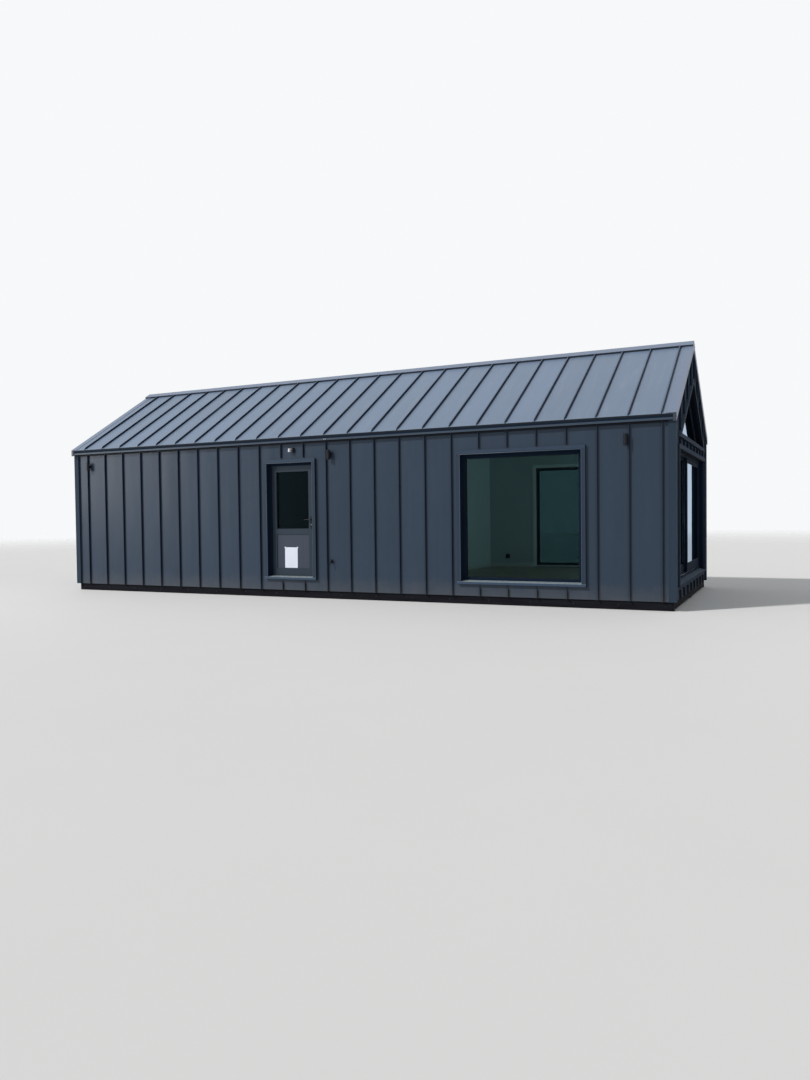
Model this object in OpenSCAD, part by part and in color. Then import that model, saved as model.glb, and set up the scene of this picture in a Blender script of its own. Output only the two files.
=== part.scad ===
// Long tiny house clad in dark standing-seam sheet, with a glazed gable end.
// X runs along the house, the front faces -Y, Z is up and 0 is the underside of the base.

/* [House] */

// length over the corner trims
house_length = 12590; // [8000:10:16000]

// width over the corner trims
house_width = 4730; // [4000:10:5600]

// height of the base frame under the cladding
base_height = 140; // [100:5:250]

// thickness of the floor cassette over the base
cassette_thickness = 200; // [120:5:260]

// thickness of the floor boards
floor_board = 30; // [15:1:40]

// thickness of the insulated wall panels
wall_thickness = 200; // [140:5:260]

// set-back of the wall panels behind the corner trims
trim_setback = 40; // [36:1:60]

/* [Roof] */

// height of the eaves band's lower edge over the floor the house stands on
eaves_height = 2938; // [2700:2:3200]

// slope of the roof in degrees
roof_pitch = 31.6; // [27:0.1:34]

// thickness of the roof panels, square to the slope
roof_thickness = 200; // [140:5:260]

// eaves overhang past the corner trims
eaves_overhang = 62; // [50:1:120]

// height of the roof line over the eaves band's lower edge
eaves_band = 92; // [70:1:140]

// width of the eaves band's upper lip, square to the slope
eaves_lip = 30; // [16:1:40]

// overhang of the verge past the corner trims
verge_overhang = 12; // [10:1:40]

// height of the verge band on the gable, upright
verge_band = 118; // [80:1:160]

// width of the plain verge strip on the roof
verge_strip = 150; // [100:5:180]

// half width of the ridge cap
cap_half = 150; // [100:5:220]

/* [Cladding] */

// spacing of the seams
seam_pitch = 500; // [400:5:600]

// distance from the left end to the first seam
first_seam = 372; // [200:1:480]

// height of a seam over its sheet
seam_height = 34; // [20:1:36]

// thickness of a seam's upright
seam_web = 6; // [4:1:8]

// width of a seam's folded head
seam_head = 18; // [10:1:22]

// depth of a seam's folded head
seam_fold = 10; // [5:1:12]

// thickness of the sheet
sheet = 4; // [3:0.5:6]

// gap between a seam's end and an opening's surround
seam_stop = 32; // [15:1:60]

// width of the corner trims
corner_trim = 115; // [90:1:150]

/* [Openings] */

// distance from the left end to the entrance opening
door_from_left = 5060; // [3500:5:5300]

// width of the entrance opening
door_width = 1018; // [900:2:1150]

// distance from the front and back windows to the right end
window_from_right = 1460; // [600:5:2200]

// width of the front and back windows
window_width = 2083; // [1200:1:2400]

// height of the openings' lower edge over the cladding's lower edge
opening_low = 250; // [240:5:300]

// distance from the eaves band down to the openings' upper edge
head_drop = 383; // [300:1:600]

// how much lower the patio opening's upper edge is
patio_drop = 20; // [0:1:60]

// distance from a corner to the patio opening
patio_pier = 400; // [330:5:900]

// clad band between the patio's and the gable window's surrounds
gable_band = 115; // [80:1:200]

// upright distance from the roof line down to the gable window's surround
gable_drop = 617; // [480:1:700]

// face width of the surrounds
surround_face = 68; // [50:1:90]

// how far the surrounds stand past the corner trims
surround_proud = 8; // [2:1:12]

// height of the sills' front edge under the opening
sill_face = 44; // [36:1:56]

// how far the sills of the long walls stand past the surrounds
sill_nose = 12; // [6:1:16]

// rise of the sills toward the window frames
sill_rise = 16; // [10:1:18]

// depth from the corner trims' face to the window and door frames
reveal_depth = 110; // [90:1:120]

// face width of the window frames, without their glazing beads
frame_face = 56; // [45:1:80]

// face width of the glazing beads
bead = 9; // [5:1:14]

// depth of the window frames
frame_depth = 75; // [60:1:80]

// thickness of the glass units
glass_unit = 28; // [20:1:40]

// depth of the glazing groove
glazing_groove = 12; // [8:1:16]

/* [Entrance door] */

// face width of the door frame
door_jamb = 34; // [30:1:50]

// how far the door frame's stop covers the joint
door_stop = 14; // [10:1:18]

// thickness of the door leaf
door_thickness = 68; // [50:1:72]

// width of the leaf's stiles, without their beads
door_stile = 100; // [90:1:130]

// height of the leaf's top rail
door_top_rail = 114; // [90:1:140]

// height of the leaf's bottom rail
door_low_rail = 140; // [100:1:180]

// height of the middle rail's lower edge over the opening's lower edge
door_mid_low = 808; // [600:1:1000]

// height of the middle rail
door_mid_rail = 98; // [70:1:130]

// running joint round the moving leaves
leaf_joint = 6; // [6:0.5:10]

// joint on the lock side of the door leaf
lock_joint = 10; // [10:0.5:14]

// height of the lever over the opening's lower edge
lever_height = 1085; // [950:5:1150]

/* [Patio door] */

// face width of the patio frame
patio_jamb = 45; // [40:1:80]

// height of the patio frame's threshold over the opening's lower edge
patio_threshold = 50; // [30:1:60]

// width of the patio leaves' stiles, without their glazing beads
patio_stile = 84; // [70:1:110]

// height of the sliding leaf's top rail
patio_top_rail = 60; // [50:1:100]

// height of the fixed leaf's top rail
fixed_top_rail = 30; // [24:1:100]

// height of both leaves' bottom rails
patio_low_rail = 150; // [80:1:170]

// thickness of the patio leaves
patio_leaf = 48; // [45:1:60]

// gap between the fixed and the sliding leaf
patio_gap = 12; // [8:1:16]

// how far the leaves overlap in the middle
patio_overlap = 92; // [60:1:110]

// height of the track that carries the sliding leaf
track_height = 6; // [4:0.5:10]

// height of the patio lever over the floor
patio_lever_height = 1000; // [800:10:1200]

/* [Room] */

// distance from the partition's right face to the right end
partition_from_right = 4595; // [4200:5:5200]

// thickness of the partition
partition_thickness = 100; // [70:5:140]

// passage left in front of the partition
partition_passage = 1350; // [900:10:1800]

/* [Fittings] */

// distance from the left end to the first wall lamp
lamp_from_left = 435; // [420:1:800]

// distance from the entrance opening to the middle wall lamp
lamp_from_door = 382; // [370:1:460]

// distance from the last wall lamp to the right end
lamp_from_right = 755; // [750:1:850]

// distance from the eaves band down to the wall lamps' middle
lamp_drop = 268; // [200:2:500]

// diameter of a wall lamp's body
lamp_width = 66; // [50:1:70]

// how far a wall lamp stands out from the cladding
lamp_reach = 98; // [96:1:120]

// height of a wall lamp's body
lamp_tall = 180; // [150:5:260]

// distance from the entrance opening's left side to the small lamp over it
door_lamp_in = 545; // [450:5:700]

// distance from the eaves band down to the small lamp
door_lamp_drop = 144; // [100:2:200]

// distance from the entrance opening to the outside tap
tap_from_door = 392; // [380:1:700]

// height of the outside tap over the cladding's lower edge
tap_height = 545; // [350:5:800]

/* [Hidden] */

$fn = 48;

// half sizes of the wall panels' outer and inner faces
core_x = house_length / 2 - trim_setback;
core_y = house_width / 2 - trim_setback;
room_x = core_x - wall_thickness;
room_y = core_y - wall_thickness;

// levels
clad_z = base_height;
cassette_top = base_height + cassette_thickness;
floor_z = cassette_top + floor_board;
low_z = clad_z + opening_low;
high_z = eaves_height - head_drop;
patio_high_z = high_z - patio_drop;

// roof lines: the panels' upper line at a distance y from the middle
slope = tan(roof_pitch);
upright = 1 / cos(roof_pitch);
cap_sheet = 4;
eaves_y = house_width / 2 + eaves_overhang;
core_apex = eaves_height + eaves_band + eaves_y * slope;
verge_x = house_length / 2 + verge_overhang;
function top_z(y) = core_apex - abs(y) * slope;
function under_z(y) = top_z(y) - roof_thickness * upright;

// play left where a piece lies against a sloping face
seat = 0.1;
function seat_z(y) = under_z(y) - seat;
eaves_low = eaves_height;

// seam places along the house and across a gable
seam_margin = corner_trim + 40;
seam_count = floor((house_length - first_seam - seam_margin) / seam_pitch) + 1;
long_seams = [for (i = [0 : seam_count - 1]) -house_length / 2 + first_seam + i * seam_pitch];
cross_count = floor((house_width / 2 - corner_trim - 60) / seam_pitch - 0.5) + 1;
cross_seams = [for (i = [-cross_count : cross_count - 1]) (i + 0.5) * seam_pitch];

door_left = door_from_left - house_length / 2;
door_right = door_left + door_width;
window_right = house_length / 2 - window_from_right;
window_left = window_right - window_width;
patio_y = house_width / 2 - patio_pier;
partition_face = house_length / 2 - partition_from_right;
lamp_places = [lamp_from_left - house_length / 2, door_right + lamp_from_door,
  house_length / 2 - lamp_from_right];

// the sheet's section with its folded seams, drawn along X with the seams toward +Y
function seam_points(u) = [
  [u - seam_web / 2, sheet],
  [u - seam_web / 2, sheet + seam_height],
  [u - seam_web / 2 + seam_head, sheet + seam_height],
  [u - seam_web / 2 + seam_head, sheet + seam_height - seam_fold],
  [u + seam_web / 2, sheet + seam_height - seam_fold],
  [u + seam_web / 2, sheet]];
function sheet_points(a, b, seams) = concat([[a, 0], [a, sheet]],
  [for (u = seams) each seam_points(u)], [[b, sheet], [b, 0]]);

module sheet_section(a, b, seams) {
  polygon(sheet_points(a, b, seams));
}

// a box from one corner to the other
module block(a, b) {
  translate(a) cube([b[0] - a[0], b[1] - a[1], b[2] - a[2]]);
}

// a section drawn across the house, Y to the right and Z up, and run along X
module along_x(x0, x1) {
  translate([x0, 0, 0]) rotate([90, 0, 90]) linear_extrude(x1 - x0) children();
}

// a section drawn along the house, X to the right and Z up, and run along Y
module along_y(y0, y1) {
  translate([0, y1, 0]) rotate([90, 0, 0]) linear_extrude(y1 - y0) children();
}

// Base and floor

module base_rails() {
  color("#4a4038")
    for (y = [-core_y + 20, -60, core_y - 140])
      block([-core_x + 10, y, 0], [core_x - 10, y + 120, base_height]);
}

module base_cross_members() {
  first = -core_x + 10;
  last = core_x - 110;
  bays = 8;
  color("#51463d")
    for (i = [0 : bays])
      for (y = [[-core_y + 140, -60], [60, core_y - 140]])
        block([first + (last - first) * i / bays, y[0], 20],
              [first + (last - first) * i / bays + 100, y[1], base_height]);
}

module floor_cassette() {
  color("#b9a37e") block([-core_x, -core_y, base_height], [core_x, core_y, cassette_top]);
}

module floor_boards() {
  color("#b99f7c") {
    block([-room_x, -room_y, cassette_top], [room_x, room_y, floor_z]);
    block([door_left, door_frame_back, cassette_top], [door_right, -room_y - 1, floor_z]);
  }
}

// Long walls: the section has a sloping top under the roof panel

module wall_section(low) {
  polygon([[-core_y, low], [-room_y, low], [-room_y, seat_z(room_y)], [-core_y, seat_z(core_y)]]);
}

module wall_piece(x0, x1, low) {
  along_x(x0, x1) wall_section(low);
}

module front_walls() {
  color("#cfc8b8") {
    wall_piece(-core_x, door_left, cassette_top);
    wall_piece(door_right, window_left, cassette_top);
    wall_piece(window_right, core_x, cassette_top);
  }
}

module back_walls() {
  color("#cfc8b8")
    mirror([0, 1, 0]) {
      wall_piece(-core_x, window_left, cassette_top);
      wall_piece(window_right, core_x, cassette_top);
    }
}

// wall pieces over the entrance and the two windows
module wall_heads() {
  color("#cfc8b8") {
    wall_piece(door_left, door_right, high_z);
    wall_piece(window_left, window_right, high_z);
    mirror([0, 1, 0]) wall_piece(window_left, window_right, high_z);
  }
}

// wall pieces under the two windows
module wall_sills() {
  color("#cfc8b8")
    for (m = [0, 1])
      mirror([0, m, 0])
        block([window_left, -core_y, cassette_top], [window_right, -room_y, low_z]);
}

// Gable walls, between the long walls

module left_gable_wall() {
  color("#cfc8b8")
    along_x(-core_x, -room_x)
      polygon([[-room_y, cassette_top], [room_y, cassette_top], [room_y, seat_z(room_y)],
               [0, seat_z(0)], [-room_y, seat_z(room_y)]]);
}

// the gable window's triangles: upper point, lower edge and half width
gable_slot_low = patio_high_z + gable_band + 2 * surround_face;
gable_slot_point = core_apex - gable_drop - surround_face * upright;
gable_slot_half = (gable_slot_point - gable_slot_low) / slope;

module triangle(inset) {
  low = gable_slot_low + inset;
  point = gable_slot_point - inset * upright;
  half = (point - low) / slope;
  polygon([[-half, low], [half, low], [0, point]]);
}

module right_gable_piers() {
  color("#cfc8b8") {
    block([room_x, -room_y, cassette_top], [core_x, -patio_y, patio_high_z]);
    block([room_x, patio_y, cassette_top], [core_x, room_y, patio_high_z]);
  }
}

module right_gable_lintel() {
  color("#cfc8b8") block([room_x, -room_y, patio_high_z], [core_x, room_y, gable_slot_low]);
}

// the wall on both sides of the gable window, split under the ridge
module right_gable_tops() {
  split = 0.5;
  color("#cfc8b8")
    for (m = [0, 1])
      mirror([0, m, 0])
        along_x(room_x, core_x)
          polygon([[-room_y, gable_slot_low], [-gable_slot_half, gable_slot_low],
                   [-split, gable_slot_point - split * slope], [-split, seat_z(split)],
                   [-room_y, seat_z(room_y)]]);
}

module partition() {
  front = -room_y + partition_passage;
  color("#e6e3da")
    along_x(partition_face - partition_thickness, partition_face)
      polygon([[front, floor_z], [room_y, floor_z], [room_y, seat_z(room_y)], [0, seat_z(0)],
               [front, seat_z(front)]]);
}

// Roof panels and sheets

module roof_panel_front() {
  color("#c9c2b2")
    along_x(-core_x, core_x)
      polygon([[-core_y, under_z(core_y)], [0, under_z(0)], [0, top_z(0)], [-core_y, top_z(core_y)]]);
}

module roof_panel_back() {
  color("#c9c2b2") mirror([0, 1, 0])
    along_x(-core_x, core_x)
      polygon([[-core_y, under_z(core_y)], [0, under_z(0)], [0, top_z(0)], [-core_y, top_z(core_y)]]);
}

slope_length = eaves_y * upright;
seam_taper = 45;

// the front slope's sheet, from the ridge down to the eaves, with seams clear of the ridge cap
module roof_sheet() {
  translate([0, 0, core_apex])
    rotate([90 + roof_pitch, 0, 0])
      difference() {
        linear_extrude(slope_length) sheet_section(-core_x, core_x, long_seams);
        block([-core_x - 1, sheet, -1], [core_x + 1, sheet + seam_height + 1, cap_half + 4]);
        along_x(-core_x - 1, core_x + 1)
          polygon([[sheet, slope_length + 1], [sheet + seam_height + 1, slope_length + 1],
                   [sheet + seam_height + 1, slope_length - seam_taper]]);
      }
}

module roof_sheet_front() {
  color("#59626f") roof_sheet();
}

module roof_sheet_back() {
  color("#59626f") mirror([0, 1, 0]) roof_sheet();
}

// a point on the front slope, down the slope from the ridge and square to it; side -1 is the back slope
function on_slope(down, over, side = 1) = [
  -side * (down * cos(roof_pitch) + over * sin(roof_pitch)),
  core_apex - down * sin(roof_pitch) + over * cos(roof_pitch)];

// the cap stands over the seams' upper ends, its edges folded down square to the slopes, its ends closed
module ridge_cap() {
  t = cap_sheet;
  top = sheet + seam_height + t;
  foot = sheet + strip_rise + seat;
  peak = core_apex + top * upright;
  color("#5f6976")
    union() {
      along_x(-verge_x, verge_x)
        polygon([on_slope(cap_half, foot), on_slope(cap_half, top), [0, peak], on_slope(cap_half, top, -1),
                 on_slope(cap_half, foot, -1), on_slope(cap_half - t, foot, -1),
                 on_slope(cap_half - t, top - t, -1), [0, peak - t * upright],
                 on_slope(cap_half - t, top - t), on_slope(cap_half - t, foot)]);
      for (x = [-verge_x, verge_x - t])
        along_x(x, x + t)
          polygon([on_slope(cap_half, foot), on_slope(cap_half, top), [0, peak], on_slope(cap_half, top, -1),
                   on_slope(cap_half, foot, -1), [0, core_apex + foot * upright]]);
    }
}

// folded band under the roof sheet's lower edge: a lip square to the slope, then an upright face
module eaves_trim() {
  y0 = -eaves_y;
  back = -core_y;
  t = 4;
  lip_in = eaves_lip * sin(roof_pitch);
  lip_down = eaves_lip * cos(roof_pitch);
  face = y0 + lip_in;
  fold = top_z(y0) - seat - lip_down;
  along_x(-core_x, core_x)
    polygon([[back, eaves_low], [face, eaves_low], [face, fold], [y0, top_z(y0) - seat],
             [back, top_z(back) - seat], [back, top_z(back) - 5], [y0 + 7, top_z(y0 + 7) - 5],
             [face + t, fold + 1], [face + t, eaves_low + t], [back, eaves_low + t]]);
}

module eaves_trims() {
  color("#66707e") {
    eaves_trim();
    mirror([0, 1, 0]) eaves_trim();
  }
}

// a band that follows both slopes, from one offset over the panels' line to another
module slope_band(above, below) {
  e = eaves_y;
  polygon([[-e, top_z(e) + above], [0, top_z(0) + above], [e, top_z(e) + above],
           [e, top_z(e) - below], [0, top_z(0) - below], [-e, top_z(e) - below]]);
}

strip_rise = 6;

module verge_trim() {
  union() {
    along_x(core_x, verge_x) slope_band((sheet + strip_rise) * upright, verge_band);
    along_x(verge_x - verge_strip, core_x + 1)
      slope_band((sheet + strip_rise) * upright, -sheet * upright - seat);
  }
}

module verge_trims() {
  color("#66707e") {
    verge_trim();
    mirror([1, 0, 0]) verge_trim();
  }
}

// folded corner post: two faces with returns to the sheets
module corner_section() {
  w = corner_trim;
  d = trim_setback - sheet;
  t = 4;
  polygon([[0, 0], [-w, 0], [-w, d], [-w + t, d], [-w + t, t], [-t, t], [-t, w - t], [-d, w - t],
           [-d, w], [0, w]]);
}

module corner_trims() {
  color("#5d6774")
    for (mx = [0, 1])
      for (my = [0, 1])
        mirror([mx, 0, 0]) mirror([0, my, 0])
          translate([house_length / 2, -house_width / 2, clad_z])
            linear_extrude(eaves_low - clad_z) corner_section();
}

// Cladding: sheets with folded seams, cut for the openings, the seams stopping short of each surround

seam_top = sheet + seam_height;

module opening_cut(x0, x1, z0, z1) {
  reach = surround_face + seam_stop;
  block([x0, -core_y - sheet - 1, z0], [x1, -core_y + 1, z1]);
  block([x0 - reach, -core_y - seam_top - 1, z0 - reach], [x1 + reach, -core_y - sheet, z1 + reach]);
}

module long_cladding() {
  translate([0, -core_y, clad_z])
    mirror([0, 1, 0])
      linear_extrude(eaves_low - clad_z) sheet_section(-core_x, core_x, long_seams);
}

module cladding_front() {
  color("#4a525e")
    difference() {
      long_cladding();
      opening_cut(door_left, door_right, low_z, high_z);
      opening_cut(window_left, window_right, low_z, high_z);
    }
}

module cladding_back() {
  color("#4a525e")
    mirror([0, 1, 0])
      difference() {
        long_cladding();
        opening_cut(window_left, window_right, low_z, high_z);
      }
}

// the right gable's sheet, cut off under the verge bands
module gable_cladding() {
  intersection() {
    translate([core_x, 0, clad_z])
      rotate([0, 0, -90])
        linear_extrude(core_apex - clad_z) sheet_section(-core_y, core_y, cross_seams);
    along_x(core_x - 1, core_x + seam_top + 1)
      polygon([[-core_y - 1, clad_z - 1], [core_y + 1, clad_z - 1],
               [core_y + 1, top_z(core_y + 1) - verge_band - seat], [0, top_z(0) - verge_band - seat],
               [-core_y - 1, top_z(core_y + 1) - verge_band - seat]]);
  }
}

module cladding_left() {
  color("#4a525e") mirror([1, 0, 0]) gable_cladding();
}

module cladding_right() {
  reach = surround_face + seam_stop;
  color("#4a525e")
    difference() {
      gable_cladding();
      block([core_x - 1, -patio_y, low_z], [core_x + sheet + 1, patio_y, patio_high_z]);
      block([core_x + sheet, -patio_y - reach, low_z - reach],
            [core_x + seam_top + 1, patio_y + reach, patio_high_z + surround_face + 6]);
      along_x(core_x - 1, core_x + sheet + 1) triangle(0);
      along_x(core_x + sheet, core_x + seam_top + 1) triangle(-surround_face - 6);
    }
}

// Surrounds: folded sheet round each opening, with a lining into the reveal

surround_back = core_y + sheet;
surround_front = house_width / 2 + surround_proud;
lining = 3;
frame_out = house_width / 2 - reveal_depth;

module rect(x0, x1, z0, z1, grow) {
  polygon([[x0 - grow, z0 - grow], [x1 + grow, z0 - grow], [x1 + grow, z1 + grow], [x0 - grow, z1 + grow]]);
}

// ring between an opening grown by two amounts
module ring(x0, x1, z0, z1, outer, inner) {
  difference() {
    rect(x0, x1, z0, z1, outer);
    rect(x0, x1, z0, z1, inner);
  }
}

// the same ring with open feet that stand on the sill
module arch(x0, x1, foot, z1, outer, inner) {
  difference() {
    polygon([[x0 - outer, foot], [x1 + outer, foot], [x1 + outer, z1 + outer], [x0 - outer, z1 + outer]]);
    polygon([[x0 - inner, foot - 1], [x1 + inner, foot - 1], [x1 + inner, z1 + inner],
             [x0 - inner, z1 + inner]]);
  }
}

// the sill's section in front of the cladding: sloping top, drop with a drip edge, flange on the cladding
function sill_nose_points(z0, back, nose, side) = [
  for (p = [[back, z0 + 4], [nose, z0 - 6], [nose, z0 - sill_face], [nose - 4, z0 - sill_face],
            [nose - 4, z0 - 11], [back + 4, z0 - 2], [back + 4, z0 - sill_face + 8],
            [back, z0 - sill_face + 8]]) [side * p[0], p[1]]];

// a plate that closes the sill's end
function sill_end_points(z0, back, nose, side) = [
  for (p = [[back, z0 + 4], [nose, z0 - 6], [nose, z0 - sill_face], [back, z0 - sill_face]])
    [side * p[0], p[1]]];

// the sill's part inside the reveal, rising to the frame
function sill_bed_points(z0, inner, back, side) = [
  for (p = [[inner, z0], [inner, z0 + sill_rise], [back, z0 + 4], [back, z0]]) [side * p[0], p[1]]];

module front_surround(x0, x1, z0, z1, lining_end) {
  inner = -lining_end;
  nose = surround_front + sill_nose;
  ends = [x0 - surround_face, x1 + surround_face];
  difference() {
    union() {
      along_y(-surround_front, -surround_back) arch(x0, x1, z0 - 6, z1, surround_face, -lining);
      along_y(-surround_back - 1, lining_end) arch(x0, x1, z0, z1, 0, -lining);
    }
    along_y(-surround_front + 4, -surround_back + 1) arch(x0, x1, z0 + 8, z1, surround_face - 4, 0.5);
  }
  along_x(x0, x1) polygon(sill_bed_points(z0, inner, surround_back, -1));
  along_x(ends[0], ends[1]) polygon(sill_nose_points(z0, surround_back, nose, -1));
  for (x = [ends[0], ends[1] - 4])
    along_x(x, x + 4) polygon(sill_end_points(z0, surround_back, nose, -1));
}

module window_surrounds() {
  color("#6a7482")
    for (m = [0, 1])
      mirror([0, m, 0]) union() front_surround(window_left, window_right, low_z, high_z, -frame_out);
}

module door_surround() {
  color("#6a7482") union() front_surround(door_left, door_right, low_z, high_z, door_frame_front);
}

out_x = house_length / 2 + surround_proud;
sheet_x = core_x + sheet;
frame_out_x = house_length / 2 - reveal_depth;
patio_frame_x = frame_out_x + 8;

module patio_surround() {
  y = patio_y;
  ends = [-y - surround_face, y + surround_face];
  color("#6a7482")
    union() {
      difference() {
        union() {
          along_x(sheet_x, out_x) arch(-y, y, low_z - 6, patio_high_z, surround_face, -lining);
          along_x(patio_frame_x, sheet_x + 1) arch(-y, y, low_z, patio_high_z, 0, -lining);
        }
        along_x(sheet_x - 1, out_x - 4) arch(-y, y, low_z + 8, patio_high_z, surround_face - 4, 0.5);
      }
      along_y(-y, y) polygon(sill_bed_points(low_z, patio_frame_x, sheet_x, 1));
      along_y(ends[0], ends[1]) polygon(sill_nose_points(low_z, sheet_x, verge_x, 1));
      for (e = [ends[0], ends[1] - 4])
        along_y(e, e + 4) polygon(sill_end_points(low_z, sheet_x, verge_x, 1));
    }
}

module triangle_ring(outer, inner) {
  difference() {
    triangle(outer);
    triangle(inner);
  }
}

module gable_window_surround() {
  color("#6a7482")
    difference() {
      union() {
        along_x(sheet_x, out_x) triangle_ring(-surround_face, lining);
        along_x(frame_out_x, sheet_x + 1) triangle_ring(seat, lining);
      }
      along_x(sheet_x - 1, out_x - 4) triangle_ring(-surround_face + 4, -0.5);
    }
}

// Windows: fixed frames with a groove that holds the glass unit

glass_in = 14;
bead_in = 6;

module window_unit_frame() {
  difference() {
    union() {
      along_y(-frame_out, -frame_out + frame_depth)
        ring(window_left, window_right, low_z, high_z, 0, -frame_face);
      along_y(-frame_out + bead_in, -frame_out + frame_depth - bead_in)
        ring(window_left, window_right, low_z, high_z, -frame_face + 1, -frame_face - bead);
    }
    window_pane();
  }
}

module window_pane() {
  along_y(-frame_out + glass_in, -frame_out + glass_in + glass_unit)
    rect(window_left, window_right, low_z, high_z, -frame_face + glazing_groove);
}

module window_frames() {
  color("#3b424c")
    for (m = [0, 1])
      mirror([0, m, 0]) window_unit_frame();
}

module window_glass() {
  color("#7d9aa0", 0.4)
    for (m = [0, 1])
      mirror([0, m, 0]) window_pane();
}

module gable_window_frame() {
  color("#3b424c")
    difference() {
      union() {
        along_x(frame_out_x - frame_depth, frame_out_x) triangle_ring(seat, frame_face);
        along_x(frame_out_x - frame_depth + bead_in, frame_out_x - bead_in)
          triangle_ring(frame_face - 1, frame_face + bead);
      }
      gable_pane();
    }
}

module gable_pane() {
  along_x(frame_out_x - glass_in - glass_unit, frame_out_x - glass_in)
    triangle(frame_face - glazing_groove);
}

module gable_window_glass() {
  color("#7d9aa0", 0.4) gable_pane();
}

// Patio door: a sliding leaf outside and a fixed leaf inside

patio_in = room_x;
patio_sill = low_z + patio_threshold;
slide_x = frame_out_x - patio_leaf;
fixed_x = slide_x - patio_gap - patio_leaf;
leaf_edge = patio_y - patio_jamb;
leaf_top = patio_high_z - patio_jamb;
fixed_from = -leaf_edge;
fixed_to = patio_overlap / 2;
slide_from = -patio_overlap / 2;
slide_to = leaf_edge - leaf_joint;
slide_low = patio_sill + track_height + leaf_joint + 2;

module patio_frame() {
  color("#3b424c")
    difference() {
      block([patio_in, -patio_y, cassette_top], [patio_frame_x, patio_y, patio_high_z]);
      block([patio_in - 1, -leaf_edge, patio_sill], [patio_frame_x + 1, leaf_edge, leaf_top]);
    }
}

// a leaf's frame with glazing beads, its stiles equal and its rails as given
module leaf_ring(y0, y1, z0, z1, x0, top_rail) {
  glass = [y0 + patio_stile, y1 - patio_stile, z0 + patio_low_rail, z1 - top_rail];
  difference() {
    union() {
      along_x(x0, x0 + patio_leaf)
        difference() {
          rect(y0, y1, z0, z1, 0);
          rect(glass[0], glass[1], glass[2], glass[3], 0);
        }
      along_x(x0 + bead_in, x0 + patio_leaf - bead_in)
        ring(glass[0], glass[1], glass[2], glass[3], 1, -bead);
    }
    leaf_pane(y0, y1, z0, z1, x0, top_rail);
  }
}

module leaf_pane(y0, y1, z0, z1, x0, top_rail) {
  mid = x0 + patio_leaf / 2;
  along_x(mid - glass_unit / 2, mid + glass_unit / 2)
    rect(y0 + patio_stile, y1 - patio_stile, z0 + patio_low_rail, z1 - top_rail, glazing_groove);
}

module patio_fixed_leaf() {
  color("#3b424c") leaf_ring(fixed_from, fixed_to, patio_sill, leaf_top, fixed_x, fixed_top_rail);
}

module patio_fixed_glass() {
  color("#7d9aa0", 0.4) leaf_pane(fixed_from, fixed_to, patio_sill, leaf_top, fixed_x, fixed_top_rail);
}

module patio_sliding_leaf() {
  color("#3b424c")
    leaf_ring(slide_from, slide_to, slide_low, leaf_top - leaf_joint, slide_x, patio_top_rail);
}

module patio_sliding_glass() {
  color("#7d9aa0", 0.4)
    leaf_pane(slide_from, slide_to, slide_low, leaf_top - leaf_joint, slide_x, patio_top_rail);
}

// the track under the sliding leaf and the wheels that run on it
wheel_drop = slide_low - patio_sill - track_height - 0.2;

module patio_track() {
  mid = slide_x + patio_leaf / 2;
  color("#8d9298") block([mid - 5, -leaf_edge, patio_sill], [mid + 5, leaf_edge, patio_sill + track_height]);
}

module patio_wheels() {
  mid = slide_x + patio_leaf / 2;
  color("#3a3d42")
    for (y = [slide_from + 160, slide_to - 160])
      translate([mid, y, slide_low])
        union() {
          block([-12, -45, -3], [12, 45, 0]);
          translate([-4, 0, -0.5]) rotate([0, 90, 0])
            intersection() {
              cylinder(r = wheel_drop - 0.5, h = 8);
              translate([0, -wheel_drop, 0]) cube([wheel_drop, 2 * wheel_drop, 8]);
            }
        }
}

// inside lever with its plate
module patio_lever() {
  y = slide_to - patio_stile / 2;
  z = floor_z + patio_lever_height;
  color("#2b2f35")
    union() {
      block([slide_x - 8, y - 16, z - 90], [slide_x, y + 16, z + 110]);
      translate([slide_x - 7, y, z]) rotate([0, -90, 0]) cylinder(r = 9, h = 45);
      block([slide_x - 56, y - 11, z - 11], [slide_x - 42, y + 11, z + 230]);
    }
}

// Entrance door

door_face = -frame_out;
door_frame_front = door_face - 20;
door_frame_back = door_face + door_thickness + 10;
clear_left = door_left + door_jamb;
clear_right = door_right - door_jamb;
clear_low = low_z + 10;
clear_high = high_z - door_jamb;
leaf_left = clear_left + leaf_joint;
leaf_right = clear_right - lock_joint;
leaf_low = clear_low + leaf_joint + 2;
leaf_high = clear_high - leaf_joint;

// frame with an outer stop that covers the running joint
module door_frame() {
  color("#3b424c")
    difference() {
      block([door_left, door_frame_front, cassette_top], [door_right, door_frame_back, high_z]);
      block([clear_left, door_face - leaf_joint, clear_low], [clear_right, door_frame_back + 1, clear_high]);
      block([clear_left + door_stop, door_frame_front - 1, clear_low],
            [clear_right - door_stop - 4, door_frame_back, clear_high - door_stop]);
    }
}

board_in = 12;
mid_low_z = low_z + door_mid_low;
mid_high_z = mid_low_z + door_mid_rail;

// stiles and rails with beads round the glass and the lower panel
module door_leaf() {
  x0 = leaf_left + door_stile;
  x1 = leaf_right - door_stile;
  color("#454d58")
    difference() {
      union() {
        along_y(door_face, door_face + door_thickness)
          difference() {
            rect(leaf_left, leaf_right, leaf_low, leaf_high, 0);
            rect(x0, x1, mid_high_z, leaf_high - door_top_rail, 0);
            rect(x0, x1, leaf_low + door_low_rail, mid_low_z, 0);
          }
        along_y(door_face + bead_in, door_face + door_thickness - bead_in) {
          ring(x0, x1, mid_high_z, leaf_high - door_top_rail, 1, -bead);
          ring(x0, x1, leaf_low + door_low_rail, mid_low_z, 1, -bead);
        }
      }
      door_pane();
      door_board();
    }
}

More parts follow.
